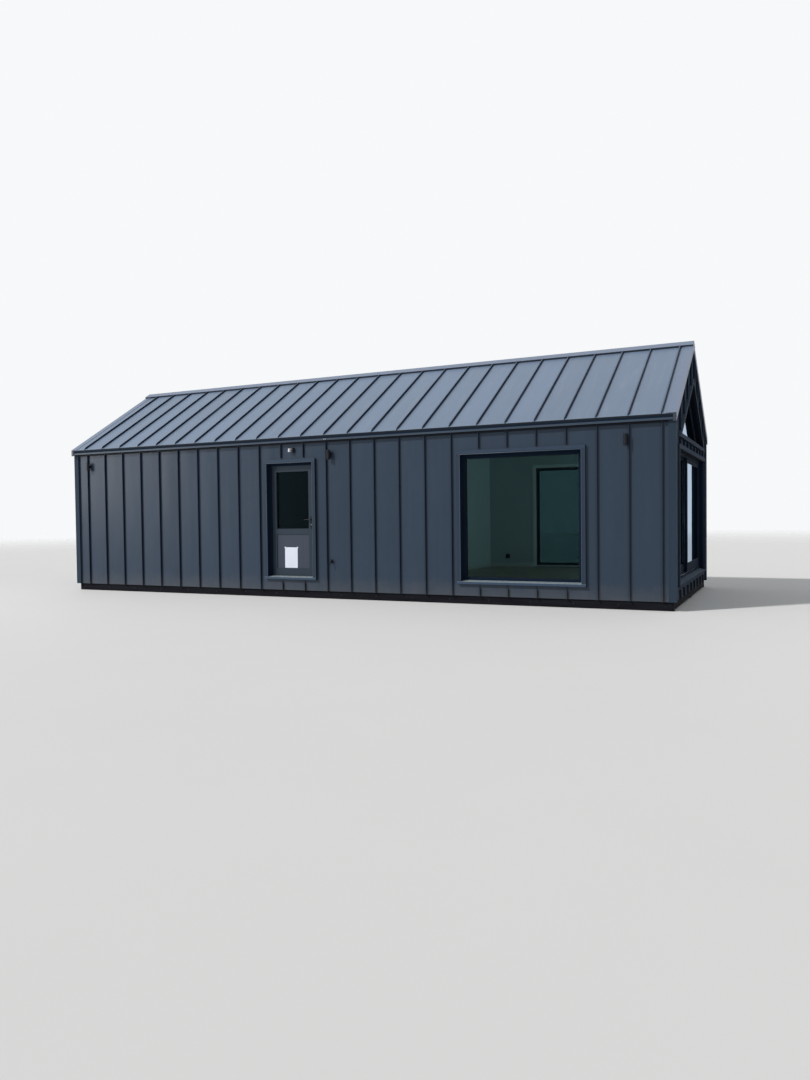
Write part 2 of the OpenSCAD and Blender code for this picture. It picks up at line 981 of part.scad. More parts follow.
module door_pane() {
  g = glazing_groove;
  y = door_face + (door_thickness - glass_unit) / 2;
  block([leaf_left + door_stile - g, y, mid_high_z - g],
        [leaf_right - door_stile + g, y + glass_unit, leaf_high - door_top_rail + g]);
}

module door_board() {
  g = glazing_groove;
  block([leaf_left + door_stile - g, door_face + board_in, leaf_low + door_low_rail - g],
        [leaf_right - door_stile + g, door_face + door_thickness - board_in, mid_low_z + g]);
}

module door_panel() {
  color("#4b5460") door_board();
}

module door_glass() {
  color("#7d9aa0", 0.4) door_pane();
}

// long plates and levers on both faces, with the key barrel below
module lever_side() {
  x = leaf_right - door_stile / 2 + 4;
  z = low_z + lever_height;
  union() {
    block([x - 21, -7, z - 165], [x + 21, 0, z + 60]);
    translate([x, -6, z]) rotate([90, 0, 0]) cylinder(r = 10, h = 36);
    translate([x + 9, -46, z]) rotate([0, -90, 0]) cylinder(r = 9, h = 135);
    translate([x, -6, z - 92]) rotate([90, 0, 0]) cylinder(r = 9, h = 8);
  }
}

module door_lever() {
  color("#23262b") {
    translate([0, door_face, 0]) lever_side();
    translate([0, door_face + door_thickness, 0]) mirror([0, 1, 0]) lever_side();
  }
}

// hinges: the leaf's knuckle carries a pin that turns in the frame's knuckle
knuckle_r = 7.5;
pin_r = 4;
pin_play = 0.1;
knuckle_h = 44;
hinge_x = leaf_left + 9;
hinge_y = door_face + door_thickness + knuckle_r + 1.5;
hinge_levels = [leaf_low + 180, (leaf_low + leaf_high) / 2 - knuckle_h, leaf_high - 270];

module door_hinges() {
  color("#23262b")
    for (z = hinge_levels)
      translate([hinge_x, hinge_y, z])
        union() {
          cylinder(r = knuckle_r, h = knuckle_h);
          cylinder(r = pin_r, h = 2 * knuckle_h);
          block([0, -knuckle_r - 1.5, 2], [34, -knuckle_r + 1.5, knuckle_h - 2]);
          block([-3, -knuckle_r - 1.5, 2], [6, 0, knuckle_h - 2]);
        }
}

module frame_hinges() {
  color("#23262b")
    for (z = hinge_levels)
      translate([hinge_x, hinge_y, z + knuckle_h + 0.5])
        difference() {
          union() {
            cylinder(r = knuckle_r, h = knuckle_h);
            block([door_left + 3 - hinge_x, door_frame_back - hinge_y, 2],
                  [0, door_frame_back + 3 - hinge_y, knuckle_h - 2]);
          }
          translate([0, 0, -1]) cylinder(r = pin_r + pin_play, h = knuckle_h + 2);
        }
}

// Fittings on the front

// each lamp has a back plate, an arm and a round body lit up and down
module wall_lamps() {
  r = lamp_width / 2;
  mid = -lamp_reach + r;
  color("#24272c")
    for (x = lamp_places)
      translate([x, -surround_back, eaves_low - lamp_drop])
        difference() {
          union() {
            block([-20, -9, -58], [20, 0, 58]);
            block([-13, mid, -26], [13, -8, 26]);
            translate([0, mid, -lamp_tall / 2]) cylinder(r = r, h = lamp_tall);
            for (z = [-lamp_tall / 2 + 26, lamp_tall / 2 - 30])
              translate([0, mid, z]) cylinder(r = r + 1.5, h = 4);
          }
          for (s = [-1, 1])
            translate([0, mid, s * lamp_tall / 2]) cylinder(r = r - 4, h = 24, center = true);
        }
}

// small round lamp on a short arm
module door_lamp() {
  color("#b9bdc2")
    translate([door_left + door_lamp_in, -surround_back, eaves_low - door_lamp_drop])
      union() {
        rotate([90, 0, 0]) cylinder(r = 32, h = 14);
        translate([0, -13, 0]) rotate([90, 0, 0]) cylinder(r = 9, h = 40);
        translate([0, -56, -34]) cylinder(r = 24, h = 62);
      }
}

// tap on a wall plate, with a spout that bends down and a hand wheel
module outside_tap() {
  bend = 22;
  reach = 52;
  color("#2c2f33")
    translate([door_right + tap_from_door, -surround_back, clad_z + tap_height])
      union() {
        rotate([90, 0, 0]) cylinder(r = 27, h = 5);
        rotate([90, 0, 0]) cylinder(r = 9, h = reach);
        translate([0, -reach, -bend])
          rotate([90, 0, 90]) rotate([0, 0, 90])
            rotate_extrude(angle = 90) translate([bend, 0]) circle(r = 9);
        translate([0, -reach - bend, -bend - 34]) cylinder(r = 9, h = 34);
        translate([0, -reach - bend, -bend - 34]) cylinder(r = 11, h = 12);
        translate([0, -30, -12]) cylinder(r = 13, h = 40);
        translate([0, -30, 27]) cylinder(r = 5, h = 18);
        translate([0, -30, 40]) cylinder(r = 24, h = 8);
      }
}

base_rails();
base_cross_members();
floor_cassette();
floor_boards();
front_walls();
back_walls();
wall_heads();
wall_sills();
left_gable_wall();
right_gable_piers();
right_gable_lintel();
right_gable_tops();
partition();
roof_panel_front();
roof_panel_back();
roof_sheet_front();
roof_sheet_back();
ridge_cap();
eaves_trims();
verge_trims();
corner_trims();
cladding_front();
cladding_back();
cladding_left();
cladding_right();
window_surrounds();
window_frames();
window_glass();
gable_window_surround();
gable_window_frame();
gable_window_glass();
patio_surround();
patio_frame();
patio_track();
patio_fixed_leaf();
patio_fixed_glass();
patio_sliding_leaf();
patio_sliding_glass();
patio_wheels();
patio_lever();
door_surround();
door_frame();
frame_hinges();
door_leaf();
door_panel();
door_glass();
door_lever();
door_hinges();
wall_lamps();
door_lamp();
outside_tap();
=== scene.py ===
"""Looks of the long tiny house: materials on the frame's nodes, and the small pieces that the frame leaves out.

Lengths are metres in the part's frame: +X along the house to the glazed gable, -Y to the entrance's side, +Z up.
"""
import math
import random

import bmesh
import bpy
from mathutils import Matrix, Vector


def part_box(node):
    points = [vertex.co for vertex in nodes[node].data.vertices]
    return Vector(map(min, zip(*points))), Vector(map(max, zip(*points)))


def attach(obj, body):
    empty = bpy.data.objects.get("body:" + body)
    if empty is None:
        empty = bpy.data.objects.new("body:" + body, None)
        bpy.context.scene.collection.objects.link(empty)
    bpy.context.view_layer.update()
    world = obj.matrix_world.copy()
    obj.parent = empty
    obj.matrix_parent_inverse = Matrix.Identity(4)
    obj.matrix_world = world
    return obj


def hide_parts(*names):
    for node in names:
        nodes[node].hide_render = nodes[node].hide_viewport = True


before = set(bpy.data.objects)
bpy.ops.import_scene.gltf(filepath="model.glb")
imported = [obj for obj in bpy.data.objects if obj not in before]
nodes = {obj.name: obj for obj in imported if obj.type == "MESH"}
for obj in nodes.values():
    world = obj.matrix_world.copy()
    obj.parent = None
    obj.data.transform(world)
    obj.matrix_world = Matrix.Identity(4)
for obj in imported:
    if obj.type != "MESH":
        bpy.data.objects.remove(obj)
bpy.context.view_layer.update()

X, Y, Z = Vector((1, 0, 0)), Vector((0, 1, 0)), Vector((0, 0, 1))
BOTH = (-1, 1)                                      # both ways along an axis


# ---------------------------------------------------------------- camera

# Fitted to the photograph of 810 x 1080: turns in degrees, the lens in mm where the long side is SENSOR mm.
YAW, PITCH, ROLL = 25.559, -1.595, -0.689
LENS, SENSOR = 27.163, 36
VIEWPOINT = (7.9185, -15.3712, 1.4981)


def add_camera():
    """A camera at the photograph's viewpoint."""
    yaw, pitch, roll = (math.radians(a) for a in (YAW, PITCH, ROLL))
    ahead = Vector((-math.sin(yaw), math.cos(yaw), 0))
    right = Vector((math.cos(yaw), math.sin(yaw), 0))
    look = ahead * math.cos(pitch) + Z * math.sin(pitch)
    top = Z * math.cos(pitch) - ahead * math.sin(pitch)
    side = right * math.cos(roll) + top * math.sin(roll)
    over = top * math.cos(roll) - right * math.sin(roll)
    data = bpy.data.cameras.new("camera")
    data.lens, data.sensor_width, data.sensor_fit = LENS, SENSOR, "AUTO"
    data.clip_start, data.clip_end = 0.1, 400
    camera = bpy.data.objects.new("camera", data)
    rows = [(side[i], over[i], -look[i], VIEWPOINT[i]) for i in range(3)]
    camera.matrix_world = Matrix((*rows, (0, 0, 0, 1)))
    bpy.context.scene.collection.objects.link(camera)
    bpy.context.scene.camera = camera


add_camera()


# ---------------------------------------------------------------- materials

class Shader:
    """A material's node tree, with short calls for the nodes used here."""

    def __init__(self, name):
        self.material = bpy.data.materials.new(name)
        self.material.use_nodes = True
        self.tree = self.material.node_tree
        self.tree.nodes.clear()
        self.place = self.add("ShaderNodeTexCoord").outputs["Object"]
        self.x, self.y, self.z = self.add("ShaderNodeSeparateXYZ", Vector=self.place).outputs

    def add(self, kind, settings=None, **inputs):
        node = self.tree.nodes.new(kind)
        for key, value in (settings or {}).items():
            setattr(node, key, value)
        for key, value in inputs.items():
            self.put(node.inputs[key.replace("_", " ")], value)
        return node

    def put(self, socket, value):
        if isinstance(value, bpy.types.NodeSocket):
            self.tree.links.new(value, socket)
        else:
            socket.default_value = value

    def math(self, operation, *values):
        node = self.add("ShaderNodeMath", {"operation": operation})
        for socket, value in zip(node.inputs, values):
            self.put(socket, value)
        return node.outputs[0]

    def times(self, a, b):
        return self.math("MULTIPLY", a, b)

    def fade(self, value, start, end, low=0.0, high=1.0):
        """low before start and high after end, smooth between."""
        node = self.add("ShaderNodeMapRange", {"interpolation_type": "SMOOTHSTEP"}, Value=value, From_Min=start,
                        From_Max=end, To_Min=low, To_Max=high)
        return node.outputs[0]

    def noise(self, scale, detail=3.0, rough=0.5, stretch=(1, 1, 1), seed=0.0, warp=0.0):
        where = self.add("ShaderNodeMapping", Vector=self.place, Location=(seed, seed * 1.7, seed * 0.6),
                         Scale=stretch).outputs[0]
        node = self.add("ShaderNodeTexNoise", Vector=where, Scale=scale, Detail=detail, Roughness=rough,
                        Distortion=warp)
        return node.outputs[0]

    def chance(self, value):
        """A random number from 0 to 1 for each whole value."""
        return self.add("ShaderNodeTexWhiteNoise", {"noise_dimensions": "1D"}, W=value).outputs[0]

    def facing(self):
        """The three parts of the surface's normal."""
        normal = self.add("ShaderNodeNewGeometry").outputs["Normal"]
        return self.add("ShaderNodeSeparateXYZ", Vector=normal).outputs

    def swing(self, *pairs):
        """1, plus each value's distance from one half times its weight."""
        total = 1.0
        for value, weight in pairs:
            total = self.math("ADD", self.times(self.math("SUBTRACT", value, 0.5), weight), total)
        return total

    def mix(self, factor, a, b, how="MIX"):
        node = self.tree.nodes.new("ShaderNodeMix")
        node.data_type, node.blend_type = "RGBA", how
        self.put(node.inputs[0], factor)
        for socket, colour in ((6, a), (7, b)):
            self.put(node.inputs[socket], rgba(colour) if isinstance(colour, tuple) else colour)
        return node.outputs[2]

    def shaded(self, colour, shade):
        return self.mix(1.0, colour, shade, "MULTIPLY")

    def bump(self, height, distance, normal=None, strength=1.0):
        node = self.add("ShaderNodeBump", Height=height, Distance=distance, Strength=strength)
        if normal is not None:
            self.put(node.inputs["Normal"], normal)
        return node.outputs[0]

    def blend(self, factor, first, second):
        """Ends the material as a mix of two shaders."""
        both = self.add("ShaderNodeMixShader", Fac=factor)
        self.put(both.inputs[1], first)
        self.put(both.inputs[2], second)
        return self.out(both.outputs[0])

    def finish(self, colour, rough, normal=None, **plain):
        """Ends the material as a Principled shader. plain gives values that are even all over."""
        node = self.add("ShaderNodeBsdfPrincipled", Base_Color=colour, Roughness=rough, **plain)
        if normal is not None:
            self.put(node.inputs["Normal"], normal)
        return self.out(node.outputs[0])

    def out(self, shader):
        self.add("ShaderNodeOutputMaterial", Surface=shader)
        return self.material


def rgba(colour):
    return (*colour, 1.0)


SEAM_PITCH = 0.5
LONG_FIRST, CROSS_FIRST = -5.923, -1.75             # the first seam of the long sides, along X, and of the gables, Y
LINING_X, LINING_Y = 6.257, 2.327                   # planes that the reveals' linings stay behind
HEAD_Z, FOOT_Z = 2.56, 0.396                        # the lower edge of the surrounds' heads, the top of their sills
FINE_GRAIN = 0.0002                                 # height of the grain that every coat has

# The painted shade of the seams (the first), and what settles on the sheets
SEAM_SHADE = (0.002, 0.009, 0.030)
DUST = (0.16, 0.19, 0.23)
ROOF_DUST = (0.24, 0.30, 0.38)
ROOF_SPECKS = (0.26, 0.31, 0.37)
ROOF_MARKS = (0.030, 0.045, 0.075)
SPLASHED = (0.14, 0.132, 0.12)
SCUFFED = (0.42, 0.40, 0.37)
SHEET_DUST = 0.25                                   # how much of it the sheets carry


def sheet(name, colour, across, first, gloss, shine, slope=False):
    """Coil-painted standing-seam sheet: a tone for each pan, soft bows in its flat, runs of rain, and dust.

    across is the axis that crosses the seams, and first is where on it the first seam stands.
    """
    s = Shader(name)
    cell = s.math("DIVIDE", s.math("SUBTRACT", s.x if across == "x" else s.y, first), SEAM_PITCH)
    pan = s.chance(s.math("FLOOR", cell))
    part = s.math("FRACT", cell)
    past_seam = s.times(part, SEAM_PITCH)
    to_seam = s.times(s.math("MINIMUM", part, s.math("SUBTRACT", 1.0, part)), SEAM_PITCH)
    cloud = s.noise(0.55, 4, 0.55, seed=3)
    rain = s.noise(1.6, 5, 0.6, (9, 0.45, 0.45) if slope else (9, 9, 0.35), seed=9)
    mottle = s.noise(7, 4, 0.6, seed=21)
    fine = s.noise(420, 2, 0.6)
    shade = s.swing((pan, 0.10), (cloud, 0.22), (rain, 0.13 if slope else 0.20), (mottle, 0.07), (fine, 0.05))
    # painted shade: darker within a few centimetres of each seam
    shade = s.times(shade, s.fade(to_seam, 0.008, 0.045, 0.86, 1.0))
    # painted shade: the seams' sides away from the light, and a narrow strip beside each, darkened and roughened
    painted_shade = s.math("MAXIMUM", s.fade(s.facing()[0 if across == "x" else 1], 0.3, 0.8),
                 s.fade(past_seam, 0.012, 0.028, 0.55, 0.0))
    painted = s.mix(s.times(painted_shade, 0.92), s.shaded(colour, shade), SEAM_SHADE)
    if slope:
        specks = s.fade(s.noise(11, 5, 0.7, (1, 0.6, 0.6), seed=40), 0.66, 0.78, 0.0, 0.16)
        painted = s.mix(specks, painted, ROOF_SPECKS)
        marks = s.times(s.fade(s.noise(5.5, 5, 0.75, (1.6, 1, 1), seed=70), 0.68, 0.74),
                        s.fade(s.noise(0.9, 2, 0.5, seed=77), 0.45, 0.60, 0.0, 0.5))
        painted = s.mix(marks, painted, ROOF_MARKS)
        wash = s.times(s.fade(s.noise(2.2, 4, 0.6, (5, 0.5, 0.5), seed=51), 0.5, 0.75), SHEET_DUST)
        painted = s.mix(wash, painted, ROOF_DUST)
    else:
        splash = s.math("ADD", s.z, s.times(s.noise(5, 4, 0.6, seed=30), 0.30))
        painted = s.mix(s.times(s.fade(splash, 0.22, 0.62, 1.0, 0.0), SHEET_DUST), painted, SPLASHED)
    rough = s.times(s.swing((cloud, 0.25), (rain, 0.35), (pan, 0.12), (mottle, 0.2)), gloss)
    rough = s.math("MAXIMUM", rough, painted_shade)
    bow = s.times(s.math("COSINE", s.times(cell, 2 * math.pi)), -0.0012)
    sway = s.times(s.noise(1.0, 2, 0.4, (2.2, 0.8, 0.8) if slope else (2.2, 2.2, 0.8), seed=60), 0.011)
    normal = s.bump(s.math("ADD", bow, sway), 1.0)
    normal = s.bump(fine, 0.00025, normal, 0.6)
    return s.finish(painted, rough, normal, Specular_IOR_Level=shine)


def coated(name, colour, gloss, run=(1, 1, 1), spread=0.2, metal=0.0, dust=0.12, shine=0.4, settled=DUST,
           under=1.0, ends=1.0, lining=None, head=None, foot=None, painted_shade=None):
    """Coated or bare metal: cloudy tone, faint runs, fine grain, and settled dust where it lies flat.

    under is a painted shade on faces that look down, ends a painted shade on faces square to Y, and lining the
    colour inside the cladding's plane, a painted shade in the reveals. head and foot are the tones over HEAD_Z and
    under FOOT_Z, painted light on the heads and a painted sky reflection on the sills, and the last argument is
    the colour of faces toward +X, a painted shadow.
    """
    s = Shader(name)
    cloud = s.noise(0.8, 4, 0.55, seed=5)
    rain = s.noise(2.0, 5, 0.6, run, seed=12)
    mottle = s.noise(26, 4, 0.6, seed=25)
    fine = s.noise(650, 2, 0.6)
    shade = s.swing((cloud, spread), (rain, spread), (mottle, 0.10), (fine, 0.08))
    to_x, to_y, up = s.facing()
    lying = s.times(s.fade(up, 0.6, 0.98), s.fade(mottle, 0.3, 0.7, dust * 0.5, dust))
    # painted light: the heads, over HEAD_Z, are lightened
    if head is not None:
        shade = s.times(shade, s.fade(s.z, HEAD_Z, HEAD_Z + 0.03, 1.0, head))
    # painted sky reflection: the sills, under FOOT_Z, are lightened
    if foot is not None:
        shade = s.times(shade, s.fade(s.z, FOOT_Z - 0.008, FOOT_Z, foot, 1.0))
    # painted shade: faces that look down are darkened
    if under < 1:
        shade = s.times(shade, s.fade(up, -0.55, -0.15, under, 1.0))
    # painted shade: faces square to Y, the trims' ends, are darkened
    if ends < 1:
        shade = s.times(shade, s.fade(s.math("ABSOLUTE", to_y), 0.90, 0.97, 1.0, ends))
    painted = s.shaded(colour, shade)
    # painted shade: inside the cladding's plane, in the reveals, the lining's darker colour
    if lining is not None:
        reveal_shade = s.times(s.math("LESS_THAN", s.math("ABSOLUTE", s.y), LINING_Y),
                       s.math("LESS_THAN", s.math("ABSOLUTE", s.x), LINING_X))
        painted = s.mix(reveal_shade, painted, s.shaded(lining, shade))
    # painted shadow: faces toward +X take a darker colour
    if painted_shade is not None:
        painted = s.mix(s.fade(to_x, 0.5, 0.9), painted, s.shaded(painted_shade, shade))
    painted = s.mix(lying, painted, settled)
    rough = s.times(s.swing((cloud, 0.3), (rain, 0.25), (mottle, 0.25)), gloss)
    return s.finish(painted, rough, s.bump(fine, FINE_GRAIN, strength=0.7), Metallic=metal,
                    Specular_IOR_Level=shine)


def glazing(name, tint, mirrored):
    """Coated insulating glass: a tint, little reflection square on and a full one at a glancing view."""
    s = Shader(name)
    wave = s.noise(0.9, 2, 0.5, seed=2)
    film = s.noise(6, 5, 0.65, (1, 1, 0.4), seed=8)
    normal = s.bump(wave, 0.004, strength=0.5)
    clear = s.add("ShaderNodeBsdfTransparent", Color=s.shaded(tint, s.swing((film, 0.06))))
    mirror = s.add("ShaderNodeBsdfGlossy", Color=rgba(mirrored), Normal=normal, Roughness=s.times(film, 0.035))
    edge = s.add("ShaderNodeFresnel", IOR=1.5, Normal=normal).outputs[0]
    amount = s.add("ShaderNodeMapRange", Value=edge, From_Min=0.044, From_Max=0.5, To_Min=0.005, To_Max=1.0)
    return s.blend(amount.outputs[0], clear.outputs[0], mirror.outputs[0])


def board(name, colour):
    """Painted lining board: roller texture, slight clouding, and scuffs low down."""
    s = Shader(name)
    cloud = s.noise(0.7, 4, 0.55, seed=4)
    roller = s.noise(190, 3, 0.6)
    scuff = s.times(s.fade(s.noise(6, 5, 0.7, (1, 1, 3), seed=17), 0.6, 0.75), s.fade(s.z, 0.4, 1.0, 0.18, 0.02))
    painted = s.mix(scuff, s.shaded(colour, s.swing((cloud, 0.10), (roller, 0.04))), SCUFFED)
    return s.finish(painted, s.times(s.swing((cloud, 0.15), (roller, 0.2)), 0.55),
                    s.bump(roller, 0.0006, strength=0.5), Specular_IOR_Level=0.35)


def wood(name, light, dark, rough, plank=None, wear=0.2, shine=0.35):
    """Planed wood with its grain along X; planks differ in tone where a plank's width and length are given."""
    s = Shader(name)
    along = (0.6, 11.0, 11.0)
    tones = []
    if plank:
        wide, long = plank
        row = s.math("FLOOR", s.math("DIVIDE", s.y, wide))
        place = s.math("ADD", s.x, s.times(s.chance(row), long))
        tone = s.chance(s.math("ADD", s.times(row, 17.3), s.math("FLOOR", s.math("DIVIDE", place, long))))
        tones = [(tone, 0.30)]
        offset = s.add("ShaderNodeCombineXYZ", X=s.times(tone, 9.0), Y=0.0, Z=s.times(tone, 5.0)).outputs[0]
        moved = s.add("ShaderNodeVectorMath", {"operation": "ADD"})
        s.put(moved.inputs[0], s.place)
        s.put(moved.inputs[1], offset)
        s.place = moved.outputs[0]
    figure = s.noise(2.2, 6, 0.62, along, warp=0.35)
    pores = s.noise(30, 4, 0.6, along)
    cloud = s.noise(1.4, 3, 0.5, seed=6)
    grain = s.fade(s.math("ADD", figure, s.times(s.math("SUBTRACT", pores, 0.5), 0.35)), 0.30, 0.72)
    shade = s.swing(*tones, (cloud, wear), (pores, 0.12))
    return s.finish(s.shaded(s.mix(grain, dark, light), shade), s.times(s.swing((figure, 0.3), (cloud, 0.2)), rough),
                    s.bump(pores, 0.0006, strength=0.6), Specular_IOR_Level=shine)


def plain_stuff(name, colour, rough, spread=0.15, scale=30, **plain):
    """Rubber, plastic or paper: a little clouding and a fine surface."""
    s = Shader(name)
    cloud = s.noise(scale, 4, 0.6, seed=14)
    fine = s.noise(scale * 20, 2, 0.6)
    return s.finish(s.shaded(colour, s.swing((cloud, spread), (fine, spread * 0.6))),
                    s.times(s.swing((cloud, 0.25)), rough), s.bump(fine, FINE_GRAIN, strength=0.6), **plain)


WALL = (0.030, 0.047, 0.075)
# the gables' colour: the walls' paint made darker, painted shade
GABLE_SHADED = (0.026, 0.042, 0.072)
# the roof's and verges' colours: the walls' paint made lighter and bluer, a painted sky reflection
ROOF_SKY_LIT = (0.157, 0.213, 0.308)
VERGE_SKY_LIT = (0.142, 0.186, 0.282)
# the eaves' colour: a little lighter than the walls, painted light
EAVES_LIT = (0.033, 0.053, 0.083)
CORNER = (0.026, 0.041, 0.064)
SURROUND = (0.025, 0.040, 0.065)
FRAME = (0.007, 0.015, 0.031)
BLACK = (0.006, 0.008, 0.013)
UPRIGHT = (9, 9, 0.4)                               # a noise's stretch for runs down an upright face
PLANK = (0.19, 2.2)                                 # a floor plank's width and length

stuff = {
    "wall_long": sheet("seamed_wall_sheet", WALL, "x", LONG_FIRST, 0.36, 0.18),
    "wall_cross": sheet("seamed_gable_sheet", GABLE_SHADED, "y", CROSS_FIRST, 0.8, 0.06),
    "roof": sheet("seamed_roof_sheet", ROOF_SKY_LIT, "x", LONG_FIRST, 0.40, 0.25, slope=True),
    # painted shade on the eaves' faces that look down
    "trim": coated("folded_trim_sheet", EAVES_LIT, 0.45, UPRIGHT, under=0.2, shine=0.3),
    "corner": coated("corner_trim_sheet", CORNER, 0.75, UPRIGHT, shine=0.10),
    # sills, and faces that look up made much paler
    # the surrounds: painted shade on their undersides, reveals and sides toward +X, painted light on their heads and
    "surround": coated("surround_sheet", SURROUND, 0.45, UPRIGHT, dust=0.85, shine=0.14, settled=(0.33, 0.39, 0.41),
                       under=0.3, lining=FRAME, head=1.3, foot=1.7, painted_shade=FRAME),
    # the gable surrounds: painted shade on their undersides and reveals, and faces that look up made paler
    "gable_surround": coated("gable_surround_sheet", SURROUND, 0.80, UPRIGHT, dust=0.6, shine=0.06,
                             settled=(0.18, 0.23, 0.29), under=0.3, lining=FRAME),
    # painted shade on the ridge cap's and verges' faces that look down and on their ends
    "roof_trim": coated("folded_roof_trim", VERGE_SKY_LIT, 0.42, (2, 2, 2), dust=0.2, settled=ROOF_DUST, under=0.2, ends=0.2),
    "frame": coated("coated_frames", FRAME, 0.75, UPRIGHT, 0.16, dust=0.05, shine=0.04),
    "door": coated("coated_door", (0.016, 0.029, 0.046), 0.48, UPRIGHT, 0.18, shine=0.25),
    "panel": coated("coated_panel", (0.033, 0.045, 0.069), 0.44, UPRIGHT, 0.18, shine=0.3),
    "glass": glazing("green_tinted_glazing", (0.325, 0.425, 0.435), (0.46, 0.56, 0.68)),
    "lining": board("pale_lining", (0.54, 0.60, 0.60)),
    "partition": board("painted_partition", (0.80, 0.84, 0.84)),
    # the base: near-black and bluish, partly dark-stained timber and partly painted shade under the house
    "timber": wood("base_timber", (0.012, 0.013, 0.017), (0.006, 0.006, 0.009), 0.9, wear=0.45, shine=0.08),
    "boards": wood("floor_planks", (0.52, 0.42, 0.31), (0.33, 0.25, 0.17), 0.42, PLANK),
    "black": coated("black_fittings", BLACK, 0.42, spread=0.25, dust=0.04, shine=0.2, settled=(0.10, 0.11, 0.12)),
    "steel": coated("bare_steel", (0.46, 0.47, 0.49), 0.34, (6, 1, 1), 0.15, metal=1.0, shine=0.5),
    "pale_metal": coated("pale_lamp_metal", (0.52, 0.53, 0.55), 0.38, spread=0.12, metal=0.9, shine=0.5),
    "rubber": plain_stuff("black_gasket_rubber", BLACK, 0.7, Specular_IOR_Level=0.2),
    # the hems' lighter, glossier coat is a painted highlight along the surrounds' inner edges
    "hem": coated("hem_painted_highlight", (0.060, 0.085, 0.125), 0.34, UPRIGHT, shine=0.5),
    "paper": plain_stuff("blank_sheet", (0.68, 0.73, 0.84), 0.62, 0.05, 40),
    "tape": plain_stuff("clear_tape", (0.70, 0.70, 0.66), 0.28, 0.06),
    "plastic": plain_stuff("white_plastic", (0.74, 0.74, 0.72), 0.36, 0.04),
    "gloss_white": plain_stuff("white_board", (0.88, 0.88, 0.86), 0.34, 0.05),
    "lens": plain_stuff("frosted_lens", (0.78, 0.78, 0.74), 0.25, 0.06, 60),
}

# The materials of the frame's nodes
WORN = {
    "roof": ["roof_sheet_front", "roof_sheet_back"],
    "roof_trim": ["ridge_cap", "verge_trims"],
    "trim": ["eaves_trims"],
    "corner": ["corner_trims"],
    "surround": ["window_surrounds", "door_surround"],
    "gable_surround": ["gable_window_surround", "patio_surround"],
    "wall_long": ["cladding_front", "cladding_back"],
    "wall_cross": ["cladding_left", "cladding_right"],
    "frame": ["window_frames", "gable_window_frame", "patio_frame", "patio_fixed_leaf", "patio_sliding_leaf",
              "door_frame"],
    "door": ["door_leaf"],
    "panel": ["door_panel"],
    "glass": ["window_glass", "gable_window_glass", "patio_fixed_glass", "patio_sliding_glass", "door_glass"],
    "lining": ["front_walls", "back_walls", "wall_heads", "wall_sills", "left_gable_wall", "right_gable_piers",
               "right_gable_lintel", "right_gable_tops", "roof_panel_front", "roof_panel_back"],
    "partition": ["partition"],
    "timber": ["base_rails", "base_cross_members", "floor_cassette"],
    "boards": ["floor_boards"],
    "black": ["patio_lever", "frame_hinges", "door_lever", "door_hinges", "wall_lamps", "outside_tap"],
    "steel": ["patio_track", "patio_wheels"],
    "pale_metal": ["door_lamp"],
}
for key, names in WORN.items():
    for name in names:
        for place in nodes[name].material_slots:
            place.material = stuff[key]


# ---------------------------------------------------------------- mesh calls

def piece(name, bm, material, body="house", smooth=None, replaces=()):
    """Ends a mesh as a piece that rides on a body. smooth is the angle up to which edges are shaded round."""
    bmesh.ops.recalc_face_normals(bm, faces=bm.faces)
    mesh = bpy.data.meshes.new(name)
    bm.to_mesh(mesh)
    bm.free()
    mesh.materials.append(stuff[material])
    if smooth is not None:
        mesh.shade_smooth()
        mesh.set_sharp_from_angle(angle=math.radians(smooth))
    obj = bpy.data.objects.new(name, mesh)
    bpy.context.scene.collection.objects.link(obj)
    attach(obj, body)
    for node in replaces:
        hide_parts(node)


def block(bm, low, high, edge=0.0, steps=1):
    """A box with rounded edges, as part of a piece."""
    made = bmesh.ops.create_cube(bm, size=1.0)["verts"]
    for v in made:
        v.co = Vector([low[i] + (v.co[i] + 0.5) * (high[i] - low[i]) for i in range(3)])
    if edge:
        edges = list({e for v in made for e in v.link_edges})
        bmesh.ops.bevel(bm, geom=edges, offset=edge, segments=steps, profile=0.6, affect="EDGES")


def slab(bm, xs, ys, zs, hand, edge=0.0, steps=1):
    """A block on one long side of the house: ys is how far out it lies there, and hand is the side, -1 the front."""
    y0, y1 = sorted(hand * y for y in ys)
    block(bm, (xs[0], y0, zs[0]), (xs[1], y1, zs[1]), edge, steps)


def lathe(bm, centre, axis, profile, sides=12):
    """Turns a profile of (radius, height) pairs about an axis through centre. Ends at radius 0 close to a point."""
    turn = Vector(axis).to_track_quat("Z", "Y").to_matrix()
    rings = []
    for r, h in profile:
        ring = []
        for k in range(sides if r > 0 else 1):
            angle = 2 * math.pi * k / sides
            ring.append(bm.verts.new(Vector(centre) + turn @ Vector((r * math.cos(angle), r * math.sin(angle), h))))
        rings.append(ring)
    for a, b in zip(rings, rings[1:]):
        for k in range(sides):
            face = [a[k % len(a)], a[(k + 1) % len(a)], b[(k + 1) % len(b)], b[k % len(b)]]
            face = [v for i, v in enumerate(face) if v not in face[:i]]
            if len(face) > 2:
                bm.faces.new(face)
    for ring in (rings[0], rings[-1]):
        if len(ring) > 2:
            bm.faces.new(ring)


